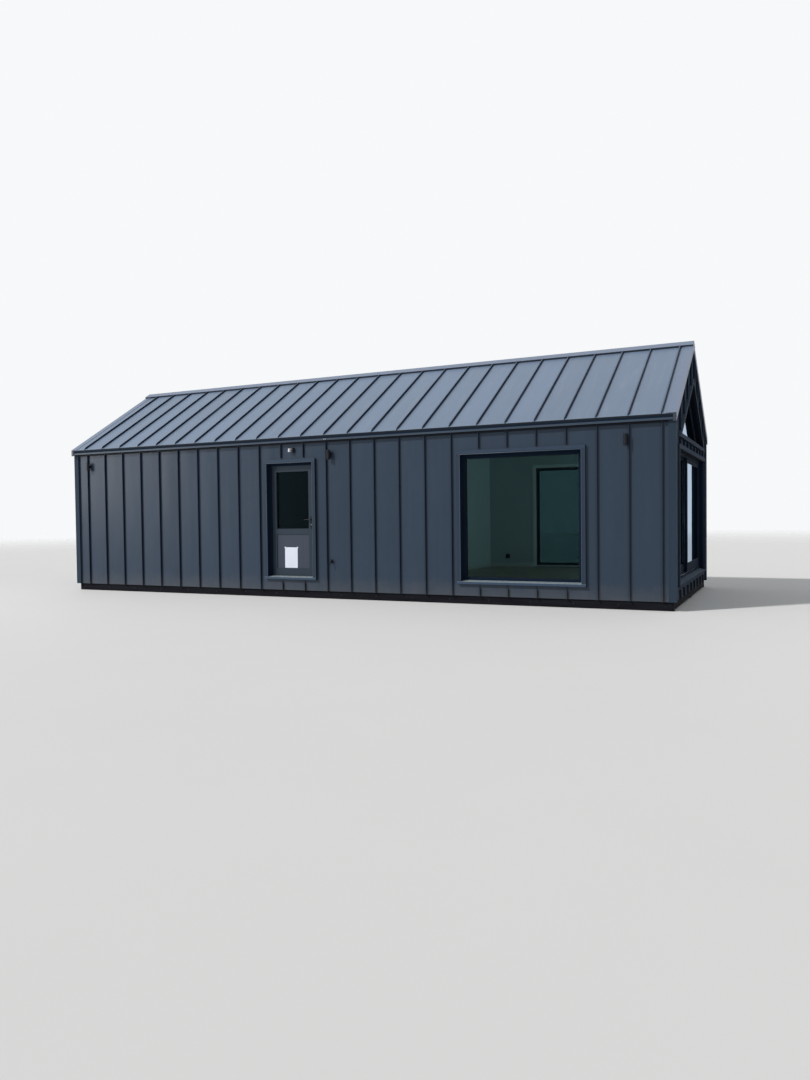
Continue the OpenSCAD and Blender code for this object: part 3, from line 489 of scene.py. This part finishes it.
def sweep(bm, path, axis, profile, closed=True):
    """Runs a profile of (side, rise) pairs along a path, mitred at its corners. Rise is along axis."""
    axis = Vector(axis)
    points = [Vector(p) for p in path]
    count = len(points)
    rings = []
    for i, p in enumerate(points):
        before = (p - points[i - 1]).normalized() if closed or i else None
        after = (points[(i + 1) % count] - p).normalized() if closed or i < count - 1 else before
        before = after if before is None else before
        s0, s1 = axis.cross(before), axis.cross(after)
        side = (s0 + s1) / (1 + s0.dot(s1))
        rings.append([bm.verts.new(p + side * u + axis * v) for u, v in profile])
    size = len(profile)
    for i in range(count if closed else count - 1):
        a, b = rings[i], rings[(i + 1) % count]
        for j in range(size):
            bm.faces.new((a[j], a[(j + 1) % size], b[(j + 1) % size], b[j]))
    if not closed:
        bm.faces.new(rings[0])
        bm.faces.new(rings[-1])


def spaced(start, end, pitch):
    """Even places from start to end, about a pitch apart."""
    count = max(1, round(abs(end - start) / pitch))
    return [start + (end - start) * i / count for i in range(count + 1)]


SCREW = 0.0055


def rivet(bm, centre, normal, radius=0.0042):
    lathe(bm, centre, normal, [(radius * 1.25, -0.0003), (radius * 1.2, 0.0006), (radius * 0.95, 0.0016),
                               (radius * 0.5, 0.0026), (0, 0.0029)], 10)


# ---------------------------------------------------------------- the frame's sizes

def span(node, axis):
    low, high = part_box(node)
    return low[axis], high[axis]


FACE = 0.068                                        # the surrounds' face
PROUD = 0.008                                       # how far it stands in front of the corner trims
SHEET = 0.004                                       # the cladding's thickness
FRAME_DEPTH, PANE = 0.075, 0.028                    # depth of the window frames, thickness of their panes
CORNER_WIDE = 0.115                                 # a corner trim's width
SINK = 0.001                                        # how deep a small piece runs into what carries it

win_x0, win_x1 = span("window_frames", 0)
win_z0, win_z1 = span("window_frames", 2)
win_face = -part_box("window_frames")[0].y            # the frames' outer faces, both sides
pan_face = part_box("cladding_front")[1].y - SHEET    # outer face of the flat of the front's sheets
surround_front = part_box("corner_trims")[0].y - PROUD
surround_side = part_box("corner_trims")[1].x + PROUD
door_x0, door_x1 = span("door_frame", 0)
room_x0, room_x1 = span("floor_boards", 0)
room_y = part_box("floor_boards")[1].y
boards_low, floor_top = span("floor_boards", 2)
part_x0, part_x1 = span("partition", 0)
part_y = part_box("partition")[0].y
seams = [LONG_FIRST + SEAM_PITCH * i for i in range(25)]


# ---------------------------------------------------------------- inside

SHORTEST, NARROWEST = 0.05, 0.02                    # planks under these aren't laid
PLANK_GAP = 0.0012
rng = random.Random(7)


def floor_planks():
    """Loose-laid planks with small gaps, one row after another, staggered by chance, and one in the doorway."""
    bm = bmesh.new()
    wide, long = PLANK
    for row in range(math.floor(-room_y / wide), math.ceil(room_y / wide)):
        y0, y1 = max(row * wide, -room_y) + PLANK_GAP, min((row + 1) * wide, room_y) - PLANK_GAP
        if y1 - y0 < NARROWEST:
            continue
        x = room_x0 - rng.random() * long
        while x < room_x1:
            a, b = max(x, room_x0) + PLANK_GAP, min(x + long, room_x1) - PLANK_GAP
            if b - a > SHORTEST:
                block(bm, (a, y0, boards_low), (b, y1, floor_top), 0.0015)
            x += long
    inside_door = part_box("door_frame")[1].y
    block(bm, (door_x0, inside_door, boards_low), (door_x1, -room_y - PLANK_GAP, floor_top), 0.002)
    piece("floor_planks", bm, "boards", replaces=["floor_boards"])


BOARD, BOARD_PROUD = 0.010, 0.004                   # linings of the windows' reveals inside
CASING, CASING_THICK = 0.066, 0.014                 # boards on the wall round them
STOOL_THICK, STOOL_PROUD = 0.018, 0.022             # the board on the sill
SKIRTING = [(0, 0), (0.014, 0), (0.014, 0.070), (0.010, 0.078), (0.004, 0.082), (0, 0.082)]


def skirting():
    """Skirting boards round both rooms, up to the windows' casings."""
    left, right = win_x0 - CASING + BOARD, win_x1 + CASING - BOARD
    runs = [
        ((room_x0, room_y), (part_x0, room_y), -1), ((part_x1, room_y), (left, room_y), -1),
        ((right, room_y), (room_x1, room_y), -1), ((room_x0, -room_y), (door_x0, -room_y), 1),
        ((door_x1, -room_y), (left, -room_y), 1), ((right, -room_y), (room_x1, -room_y), 1),
        ((room_x0, -room_y), (room_x0, room_y), -1), ((part_x0, part_y), (part_x0, room_y), 1),
        ((part_x1, part_y), (part_x1, room_y), -1),
    ]
    bm = bmesh.new()
    for (x0, y0), (x1, y1), hand in runs:
        sweep(bm, [(x0, y0, floor_top), (x1, y1, floor_top)], Z, [(hand * u, v) for u, v in SKIRTING], closed=False)
    piece("skirting_boards", bm, "plastic")


SOCKET_X, SOCKET_Z = 2.11, 0.60
SOCKET_HALF, SOCKET_DEEP = (0.048, 0.052), 0.009


def socket_outlet():
    """A socket on the back wall, with its round well."""
    bm = bmesh.new()
    face = room_y - SOCKET_DEEP
    block(bm, (SOCKET_X - SOCKET_HALF[0], face, SOCKET_Z - SOCKET_HALF[1]),
          (SOCKET_X + SOCKET_HALF[0], room_y, SOCKET_Z + SOCKET_HALF[1]), 0.004, 2)
    lathe(bm, (SOCKET_X, face, SOCKET_Z), -Y,
          [(0.026, 0), (0.026, 0.003), (0.021, 0.003), (0.020, -0.004), (0, -0.004)], 24)
    piece("back_wall_socket", bm, "black", smooth=40)


def inner_linings():
    """White boards that line the two big windows' reveals on the room side, with casings on the wall round them."""
    bm = bmesh.new()
    frame_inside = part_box("window_frames")[1].y - FRAME_DEPTH
    x0, x1, top = win_x0 + BOARD, win_x1 - BOARD, win_z1 - BOARD
    for hand in BOTH:
        lining = (frame_inside, room_y - BOARD_PROUD)
        slab(bm, (win_x0, x0), lining, (win_z0, win_z1), hand, 0.001)
        slab(bm, (x1, win_x1), lining, (win_z0, win_z1), hand, 0.001)
        slab(bm, (x0, x1), lining, (top, win_z1), hand, 0.001)
        slab(bm, (x0, x1), (frame_inside, room_y - STOOL_PROUD), (win_z0, win_z0 + STOOL_THICK), hand, 0.004, 2)
        casing = (room_y, room_y - CASING_THICK)
        slab(bm, (x0 - CASING, x0), casing, (floor_top, top), hand, 0.003, 2)
        slab(bm, (x1, x1 + CASING), casing, (floor_top, top), hand, 0.003, 2)
        slab(bm, (x0 - CASING, x1 + CASING), casing, (top, top + CASING), hand, 0.003, 2)
    piece("window_inner_linings", bm, "gloss_white")


# ---------------------------------------------------------------- glazing trims

def rect_path(a0, a1, b0, b1, inset, plane, at):
    """A rectangle's corners in the XZ plane (plane 1) or YZ plane (plane 0), drawn in by inset."""
    a0, a1, b0, b1 = a0 + inset, a1 - inset, b0 + inset, b1 - inset
    corners = [(a0, b0), (a1, b0), (a1, b1), (a0, b1)]
    return [Vector((a, at, b)) if plane else Vector((at, a, b)) for a, b in corners]


GASKET_DEEP, GASKET_WIDE, GASKET_STEPS = 0.005, 0.0055, 4


def gasket(bm, path, out):
    """A rounded rubber bead along the foot of the glazing beads. path lies on the glass, out is its outer normal."""
    centre = sum(path, Vector()) / len(path)
    towards = Vector(out).cross((path[1] - path[0]).normalized())
    hand = 1 if towards.dot(centre - path[0]) > 0 else -1
    profile = [(-hand * SINK, 0), (-hand * SINK, GASKET_DEEP)]
    for k in range(GASKET_STEPS + 1):
        t = math.pi / 2 * k / GASKET_STEPS
        profile.append((hand * GASKET_WIDE * math.sin(t), GASKET_DEEP * math.cos(t)))
    sweep(bm, path, out, profile)


GROOVE = 0.021                                      # how far the glass runs in behind the beads
BEAD_FOOT = 0.065                                   # width of the gable window's frame with its bead


def glass_gaskets(name, glass, plane, body="house", mirrored=False):
    """Gaskets round both faces of a glass node's pane. mirrored adds those of the same pane in the other long wall."""
    low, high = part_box(glass)
    near, far = low[plane], (low[plane] + PANE if mirrored else high[plane])
    a, b = (1, 2) if plane == 0 else (0, 2)
    bm = bmesh.new()
    faces = [(near, -1), (far, 1)] + ([(-far, -1), (-near, 1)] if mirrored else [])
    for at, hand in faces:
        gasket(bm, rect_path(low[a], high[a], low[b], high[b], GROOVE, plane, at), (Y if plane else X) * hand)
    piece(name, bm, "rubber", body, 50)


def triangle_path(node, inset, at):
    """A gable triangle's corners, drawn in by inset, from a node's box."""
    low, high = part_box(node)
    slope = (high.z - low.z) / high.y
    z = low.z + inset
    point = high.z - inset * math.sqrt(1 + slope * slope)
    reach = (point - z) / slope
    return [Vector((at, -reach, z)), Vector((at, reach, z)), Vector((at, 0, point))]


def gable_gaskets():
    bm = bmesh.new()
    for x, hand in zip(span("gable_window_glass", 0), BOTH):
        gasket(bm, triangle_path("gable_window_frame", BEAD_FOOT, x), X * hand)
    piece("gable_window_gaskets", bm, "rubber", smooth=50)


# ---------------------------------------------------------------- fixings

RIVET_PITCH, RIVET_FOOT = 0.36, 0.12                # apart, and the lowest over a surround's foot


def rivets_round(bm, node, plane, at, hand):
    """Rivets along the middle of a surround's face: along its head, and down both sides."""
    low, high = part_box(node)
    along = 1 - plane
    near, far, top = low[along] + FACE / 2, high[along] - FACE / 2, high.z - FACE / 2
    out = (Y if plane else X) * hand
    places = [(u, top) for u in spaced(near, far, RIVET_PITCH)]
    places += [(u, z) for z in spaced(low.z + RIVET_FOOT, top, RIVET_PITCH)[:-1] for u in (near, far)]
    for u, z in places:
        rivet(bm, (u, at, z) if plane else (at, u, z), out)


def surround_rivets():
    bm = bmesh.new()
    for hand in BOTH:
        rivets_round(bm, "window_surrounds", 1, -hand * surround_front, hand)
    rivets_round(bm, "door_surround", 1, surround_front, -1)
    rivets_round(bm, "patio_surround", 0, surround_side, 1)
    path = triangle_path("gable_window_surround", FACE / 2, surround_side)
    for a, b in zip(path, path[1:] + path[:1]):
        for t in spaced(0, 1, RIVET_PITCH / (b - a).length)[1:]:
            rivet(bm, a.lerp(b, t), X)
    piece("surround_rivets", bm, "trim", smooth=60)


TRIM_PITCH, TRIM_IN = 0.46, 0.085                   # rivets of the corner trims: apart, and in from the corner
TRIM_FOOT, TRIM_HEAD = 0.10, 0.14                   # the lowest over the trims' foot, the highest under their head


def corner_rivets():
    """Rivets down both faces of the four corner trims."""
    bm = bmesh.new()
    low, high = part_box("corner_trims")
    for z in spaced(low.z + TRIM_FOOT, high.z - TRIM_HEAD, TRIM_PITCH):
        for hx in BOTH:
            for hy in BOTH:
                rivet(bm, (hx * (high.x - TRIM_IN), hy * high.y, z), Y * hy)
                rivet(bm, (hx * high.x, hy * (high.y - TRIM_IN), z), X * hx)
    piece("corner_rivets", bm, "trim", smooth=60)


FILLER_TALL, FILLER_REACH = 0.030, 0.031            # height, and how far out from the flat of the sheets
FILLER_SINK, FILLER_CLEAR = 0.002, 0.012            # depth in the sheets, and clearance to each seam


def eaves_fillers():
    """Dark fillers that close the pans under the eaves trims, one between each two seams; their dark also stands in
    for the shadow under the eaves band, painted shade.
    """
    bm = bmesh.new()
    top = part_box("eaves_trims")[0].z
    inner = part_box("corner_trims")[1].x - CORNER_WIDE
    ends = [-inner - FILLER_CLEAR] + seams + [inner + FILLER_CLEAR]
    for a, b in zip(ends, ends[1:]):
        for hand in BOTH:
            slab(bm, (a + FILLER_CLEAR, b - FILLER_CLEAR), (-pan_face - FILLER_SINK, -pan_face + FILLER_REACH),
                 (top - FILLER_TALL, top), hand, 0.003, 2)
    piece("eaves_fillers", bm, "rubber")


EAVES_JOINT = 0.1                                   # where the two lengths of each eaves trim meet, along X
LIP_IN = 0.0157                                     # how far the upright face stands behind the eaves' lip
COVER_HALF, COVER_THICK, COVER_TALL = 0.034, 0.0013, 0.035


def eaves_joints():
    """Cover plates over the joints of the eaves trims, each with two blind rivets."""
    plates, rivets = bmesh.new(), bmesh.new()
    low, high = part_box("eaves_trims")
    face = high.y - LIP_IN
    for hand in BOTH:
        slab(plates, (EAVES_JOINT - COVER_HALF, EAVES_JOINT + COVER_HALF), (face - SINK, face + COVER_THICK),
             (low.z + 0.001, low.z + COVER_TALL), hand, 0.0005)
        for dx in (-0.019, 0.019):
            rivet(rivets, (EAVES_JOINT + dx, hand * (face + COVER_THICK), low.z + 0.018), Y * hand, 0.006)
    piece("eaves_joints", plates, "trim")
    piece("eaves_joint_rivets", rivets, "pale_metal", smooth=60)


def eaves_lip_shadow_strips():
    """Painted shadow: a dark strip along the head of each eaves trim's face, under the lip, where its shadow falls."""
    bm = bmesh.new()
    low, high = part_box("eaves_trims")
    face = high.y - LIP_IN
    for hand in BOTH:
        slab(bm, (low.x + 0.001, high.x - 0.001), (face - SINK, face + 0.004), (low.z + 0.036, low.z + 0.066), hand,
             0.0015)
    piece("eaves_lip_shadow_strips", bm, "frame")


ROOF_PITCH = math.radians(31.6)
CAP_HALF, CAP_SCREW = 0.150, 0.022                  # the ridge cap's reach down each slope, its screws in from there
LAPS, LAP, LAP_THICK = (-3.1, 0.0, 3.1), 0.09, 0.0012
VERGE_PITCH, VERGE_IN = 0.42, 0.075                 # the verges' screws: apart, and in from the edge
VERGE_HEAD, VERGE_FOOT = 0.30, 0.12                 # the highest from the ridge, the lowest from the eaves


def slope_frame(side):
    """Directions down and square to a roof slope. side is -1 at the front."""
    return (Vector((0, side * math.cos(ROOF_PITCH), -math.sin(ROOF_PITCH))),
            Vector((0, side * math.sin(ROOF_PITCH), math.cos(ROOF_PITCH))))


def ridge_laps():
    """Lapped joints of the ridge cap and the screws along its edges, into every seam."""
    bm, screws = bmesh.new(), bmesh.new()
    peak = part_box("ridge_cap")[1].z
    for side in BOTH:
        down, out = slope_frame(side)
        for x in LAPS:
            spots = [(-LAP / 2, 0.004), (-LAP / 2, CAP_HALF), (LAP / 2, CAP_HALF), (LAP / 2, 0.004)]
            corners = [Vector((x + dx, 0, peak)) + down * d for dx, d in spots]
            under = [bm.verts.new(c - out * 0.0005) for c in corners]
            over = [bm.verts.new(c + out * LAP_THICK) for c in corners]
            bm.faces.new(under)
            bm.faces.new(over)
            for i in range(4):
                j = (i + 1) % 4
                bm.faces.new([under[i], under[j], over[j], over[i]])
            for d in (0.045, 0.110):
                rivet(screws, Vector((x + 0.02, 0, peak)) + down * d + out * LAP_THICK, out, SCREW)
        for x in seams:
            rivet(screws, Vector((x, 0, peak)) + down * (CAP_HALF - CAP_SCREW), out, SCREW)
    piece("ridge_laps", bm, "roof_trim")
    piece("ridge_screws", screws, "roof_trim", smooth=60)


def verge_screws():
    """Screws down the upper faces of the verge trims."""
    bm = bmesh.new()
    low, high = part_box("verge_trims")
    for side in BOTH:
        down, out = slope_frame(side)
        for d in spaced(VERGE_HEAD, (high.y - VERGE_FOOT) / math.cos(ROOF_PITCH), VERGE_PITCH):
            for hand in BOTH:
                rivet(bm, Vector((hand * (high.x - VERGE_IN), 0, high.z)) + down * d, out, SCREW)
    piece("verge_screws", bm, "roof_trim", smooth=60)


SILL_CLEAR = 0.060                                  # from a surround's foot to the foot of its hem
HEM = [(0, -SINK), (0, 0.0012), (0.0012, 0.0022), (0.0042, 0.0022), (0.0054, 0.0012), (0.0054, -SINK)]


def opening_hems(name, node, hands):
    """Folded hems round the inner edges of a surround: a thin bead on its face, along both sides and the head,
    whose lighter coat is a painted highlight.
    """
    bm = bmesh.new()
    low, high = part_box(node)
    x0, x1, top, foot = low.x + FACE, high.x - FACE, high.z - FACE, low.z + SILL_CLEAR
    for hand in hands:
        path = [(x, -hand * surround_front, z) for x, z in ((x0, foot), (x0, top), (x1, top), (x1, foot))]
        sweep(bm, path, Y * hand, [(-hand * u, v) for u, v in HEM], closed=False)
    piece(name, bm, "hem", smooth=50)


def drain_caps():
    """Caps over the drain slots in the lower rails of the two big windows."""
    bm = bmesh.new()
    for hand in BOTH:
        for x in (win_x0 + 0.30, (win_x0 + win_x1) / 2, win_x1 - 0.30):
            slab(bm, (x - 0.017, x + 0.017), (win_face - SINK, win_face + 0.0045), (win_z0 + 0.012, win_z0 + 0.024),
                 hand, 0.002, 2)
    piece("drain_caps", bm, "frame", smooth=40)


WASHER = [(0.019, -SINK), (0.019, 0.002), (0.0185, 0.0025), (0.011, 0.0025)]
BOLT_HEAD = [(0.0115, 0.002), (0.0115, 0.009), (0.010, 0.0105), (0, 0.0105)]
BOLT_PITCH, BOLT_IN = 0.7, 0.12


def base_bolts():
    """Coach bolts with washers along the outer rails of the base."""
    low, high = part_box("base_rails")
    z = (low.z + high.z) / 2
    bm = bmesh.new()
    for x in spaced(low.x + BOLT_IN, high.x - BOLT_IN, BOLT_PITCH):
        for hand in BOTH:
            lathe(bm, (x, hand * high.y, z), Y * hand, WASHER, 20)
            lathe(bm, (x, hand * high.y, z), Y * hand, BOLT_HEAD, 6)
    piece("base_bolts", bm, "black", smooth=30)


# ---------------------------------------------------------------- fittings

WALL_LAMPS, LAMP_IN = (-5.860, 0.165, 5.540), 0.0345    # along X, and their middle behind their front
DOOR_LAMP_IN = 0.024
KEY_Z = 0.39 + 1.085 - 0.092                        # the opening's lower edge, the lever over it, the barrel below
KEY_IN, KEY_PROUD = 0.017, 0.014                    # the barrel in from the plates' edge, its face before the leaf


def lamp_lights():
    """Frosted lenses with their rims in the open ends of the three wall lamps."""
    low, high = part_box("wall_lamps")
    lens, rims = bmesh.new(), bmesh.new()
    for x in WALL_LAMPS:
        for z, way in ((low.z, -1), (high.z, 1)):
            end = (x, low.y + LAMP_IN, z)
            lathe(lens, end, Z * way, [(0.0255, -0.008), (0.0255, -0.006), (0.018, -0.0045), (0, -0.004)], 28)
            lathe(rims, end, Z * way, [(0.0289, -0.0115), (0.0289, -0.002), (0.0252, -0.002), (0.0252, -0.0115)], 28)
    piece("wall_lamp_lenses", lens, "lens", smooth=40)
    piece("wall_lamp_rims", rims, "black", smooth=40)


def door_lamp_lens():
    """The door lamp's lens, in its lower end."""
    low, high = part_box("door_lamp")
    bm = bmesh.new()
    lathe(bm, ((low.x + high.x) / 2, low.y + DOOR_LAMP_IN, low.z), -Z,
          [(0.020, -0.002), (0.020, 0.001), (0.014, 0.004), (0, 0.0055)], 24)
    piece("door_lamp_lens", bm, "lens", smooth=40)


def door_lamp_plate():
    """The black plate that carries the door lamp, to the right of its can; it also stands in for the lamp's shadow
    on the wall, painted shadow.
    """
    low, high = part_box("door_lamp")
    bm = bmesh.new()
    block(bm, (high.x - 0.002, pan_face - 0.040, low.z - 0.020), (high.x + 0.046, pan_face + 0.002, high.z + 0.012),
          0.006, 3)
    piece("door_lamp_plate", bm, "black", smooth=40)


def key_barrels():
    """A barrel face with a key slot, on both sides of the entrance door."""
    bm = bmesh.new()
    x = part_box("door_lever")[1].x - KEY_IN
    for face, hand in zip(span("door_leaf", 1), BOTH):
        y = face + hand * KEY_PROUD
        lathe(bm, (x, y, KEY_Z), Y * hand, [(0.0078, -SINK), (0.0078, 0.0005), (0.007, 0.001), (0.0035, 0.001),
                                            (0.003, 0.0002), (0, 0.0002)], 24)
        y0, y1 = sorted((y, y + hand * 0.0018))
        block(bm, (x - 0.0009, y0, KEY_Z - 0.0045), (x + 0.0009, y1, KEY_Z + 0.0045))
    piece("door_key_barrels", bm, "steel", "entrance_door", 40)


PAPER_X, PAPER_Z = (-0.917, -0.632), (0.528, 0.950)     # the blank sheet's edges
PAPER_GRID, PAPER_THICK = (14, 18), 0.0004
TAPE = (0.034, 0.0006, 0.015)                       # a piece's length, thickness and width
TAPE_TURNS = (40, -38, -44, 47)                     # degrees, at the lower left, lower right, upper left, upper right


def door_sheet():
    """The blank sheet on the door's lower panel, held at its corners by short pieces of tape."""
    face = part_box("door_panel")[0].y
    (x0, x1), (z0, z1), (cols, rows) = PAPER_X, PAPER_Z, PAPER_GRID
    bm = bmesh.new()
    grid = {}
    for i in range(cols + 1):
        for j in range(rows + 1):
            u, v = i / cols, j / rows
            # a soft belly, a slight wave, and a curl at the lower right corner
            lift = 0.0012 + 0.0030 * math.sin(math.pi * u) * math.sin(math.pi * v) + 0.0010 * math.sin(5.2 * u + 3 * v)
            lift += 0.072 * max(0, u - 0.75) * max(0, 0.3 - v)
            x, z = x0 + (x1 - x0) * u + 0.004 * (v - 0.5), z0 + (z1 - z0) * v - 0.004 * (u - 0.5)
            for k in (0, 1):
                grid[i, j, k] = bm.verts.new((x, face - lift - 0.0004 + k * PAPER_THICK, z))
    for i in range(cols):
        for j in range(rows):
            for k in (0, 1):
                bm.faces.new([grid[a, b, k] for a, b in ((i, j), (i + 1, j), (i + 1, j + 1), (i, j + 1))])
    rim = [(i, 0) for i in range(cols)] + [(cols, j) for j in range(rows)]
    rim += [(i, rows) for i in range(cols, 0, -1)] + [(0, j) for j in range(rows, 0, -1)]
    for a, b in zip(rim, rim[1:] + rim[:1]):
        bm.faces.new([grid[(*a, 0)], grid[(*b, 0)], grid[(*b, 1)], grid[(*a, 1)]])
    piece("blank_door_sheet", bm, "paper", "entrance_door", 60)

    tapes = bmesh.new()
    for (x, z), turn in zip(((x, z) for z in PAPER_Z for x in PAPER_X), TAPE_TURNS):
        made = bmesh.ops.create_cube(tapes, size=1.0)["verts"]
        spin = (Matrix.Translation((x, face - 0.0030, z)) @ Matrix.Rotation(math.radians(turn), 4, "Y")
                @ Matrix.Diagonal((*TAPE, 1)))
        for v in made:
            v.co = spin @ v.co
            # the half beside the sheet lies lower, on the panel
            v.co.y += 0.0022 * (abs(v.co.x - (x0 + x1) / 2) > (x1 - x0) / 2)
    piece("sheet_tapes", tapes, "tape", "entrance_door")


floor_planks()
skirting()
socket_outlet()
inner_linings()
glass_gaskets("window_gaskets", "window_glass", 1, mirrored=True)
glass_gaskets("door_glass_gaskets", "door_glass", 1, "entrance_door")
glass_gaskets("patio_fixed_gaskets", "patio_fixed_glass", 0)
glass_gaskets("patio_sliding_gaskets", "patio_sliding_glass", 0, "patio_slider")
gable_gaskets()
surround_rivets()
corner_rivets()
eaves_fillers()
eaves_joints()
eaves_lip_shadow_strips()
ridge_laps()
verge_screws()
opening_hems("window_hems", "window_surrounds", BOTH)
opening_hems("door_hems", "door_surround", (-1,))
drain_caps()
base_bolts()
lamp_lights()
door_lamp_lens()
door_lamp_plate()
key_barrels()
door_sheet()


# ---------------------------------------------------------------- stage

FLOOR_TONE = (0.80, 0.80, 0.795)
FLOOR_RADIUS, FLOOR_DROP = 75, 0.002
FADE_FROM, FADE_TO = 24, 70                         # where the floor fades into the surround
SKY, SKY_STRENGTH = (0.95, 0.98, 1), 0.38           # the even light all round
SEEN = (0.93, 0.94, 0.95)                           # the surround as the camera, gloss and glass see it
WARM, COOL = (1, 0.985, 0.96), (0.90, 0.97, 1)


def add_floor():
    """A pale floor that fades into the white surround."""
    s = Shader("pale_floor")
    far = s.add("ShaderNodeVectorMath", {"operation": "LENGTH"})
    s.put(far.inputs[0], s.place)
    soft = s.noise(0.7, 4, 0.5)
    pale = s.add("ShaderNodeBsdfPrincipled", Base_Color=s.shaded(FLOOR_TONE, s.swing((soft, 0.03))), Roughness=0.7,
                 Specular_IOR_Level=0.2)
    clear = s.add("ShaderNodeBsdfTransparent")
    bm = bmesh.new()
    bmesh.ops.create_circle(bm, cap_ends=True, radius=FLOOR_RADIUS, segments=96)
    mesh = bpy.data.meshes.new("floor")
    bm.to_mesh(mesh)
    bm.free()
    mesh.materials.append(s.blend(s.fade(far.outputs["Value"], FADE_FROM, FADE_TO), pale.outputs[0],
                                  clear.outputs[0]))
    floor = bpy.data.objects.new("floor", mesh)
    floor.location.z = -FLOOR_DROP
    bpy.context.scene.collection.objects.link(floor)


def add_surround():
    """Even light all round, seen as white by the camera, by gloss and through glass."""
    world = bpy.data.worlds.new("surround")
    world.use_nodes = True
    tree = world.node_tree
    tree.nodes.clear()
    path = tree.nodes.new("ShaderNodeLightPath")
    seen = path.outputs["Is Camera Ray"]
    for ray in ("Is Glossy Ray", "Is Transmission Ray"):
        either = tree.nodes.new("ShaderNodeMath")
        either.operation = "MAXIMUM"
        tree.links.new(seen, either.inputs[0])
        tree.links.new(path.outputs[ray], either.inputs[1])
        seen = either.outputs[0]
    mix, out = tree.nodes.new("ShaderNodeMixShader"), tree.nodes.new("ShaderNodeOutputWorld")
    tree.links.new(seen, mix.inputs[0])
    for socket, colour, strength in ((1, SKY, SKY_STRENGTH), (2, SEEN, 1.0)):
        light = tree.nodes.new("ShaderNodeBackground")
        light.inputs[0].default_value, light.inputs[1].default_value = rgba(colour), strength
        tree.links.new(light.outputs[0], mix.inputs[socket])
    tree.links.new(mix.outputs[0], out.inputs[0])
    bpy.context.scene.world = world


def add_lamp(name, kind, energy, colour, place, aim, **more):
    """A lamp at a place that shines along aim. more are its settings."""
    data = bpy.data.lights.new(name, kind)
    data.energy, data.color = energy, colour
    for key, value in more.items():
        setattr(data, key, value)
    lamp = bpy.data.objects.new(name, data)
    lamp.rotation_mode = "QUATERNION"
    lamp.location, lamp.rotation_quaternion = place, aim.to_track_quat("-Z", "Y")
    bpy.context.scene.collection.objects.link(lamp)
    return lamp


def add_lamps():
    """A soft key from the front left, a panel that brightens the far end, and daylight in the right room."""
    add_lamp("key", "SUN", 2.45, WARM, Vector(), Vector((0.54, 0.56, -0.62)), angle=math.radians(4))
    place, target = Vector((-15, -11, 4.2)), Vector((-2, -2.3, 2.8))
    add_lamp("left_panel", "AREA", 96, WARM, place, target - place, shape="SQUARE", size=5, spread=math.radians(75))
    inside = add_lamp("room_daylight", "AREA", 44, COOL, Vector((5.95, 0, 1.6)), -X, shape="RECTANGLE", size=3.4,
                      size_y=1.8)
    inside.visible_camera = inside.visible_glossy = inside.visible_transmission = False


add_floor()
add_surround()
add_lamps()

bpy.context.scene.view_settings.view_transform = "Standard"
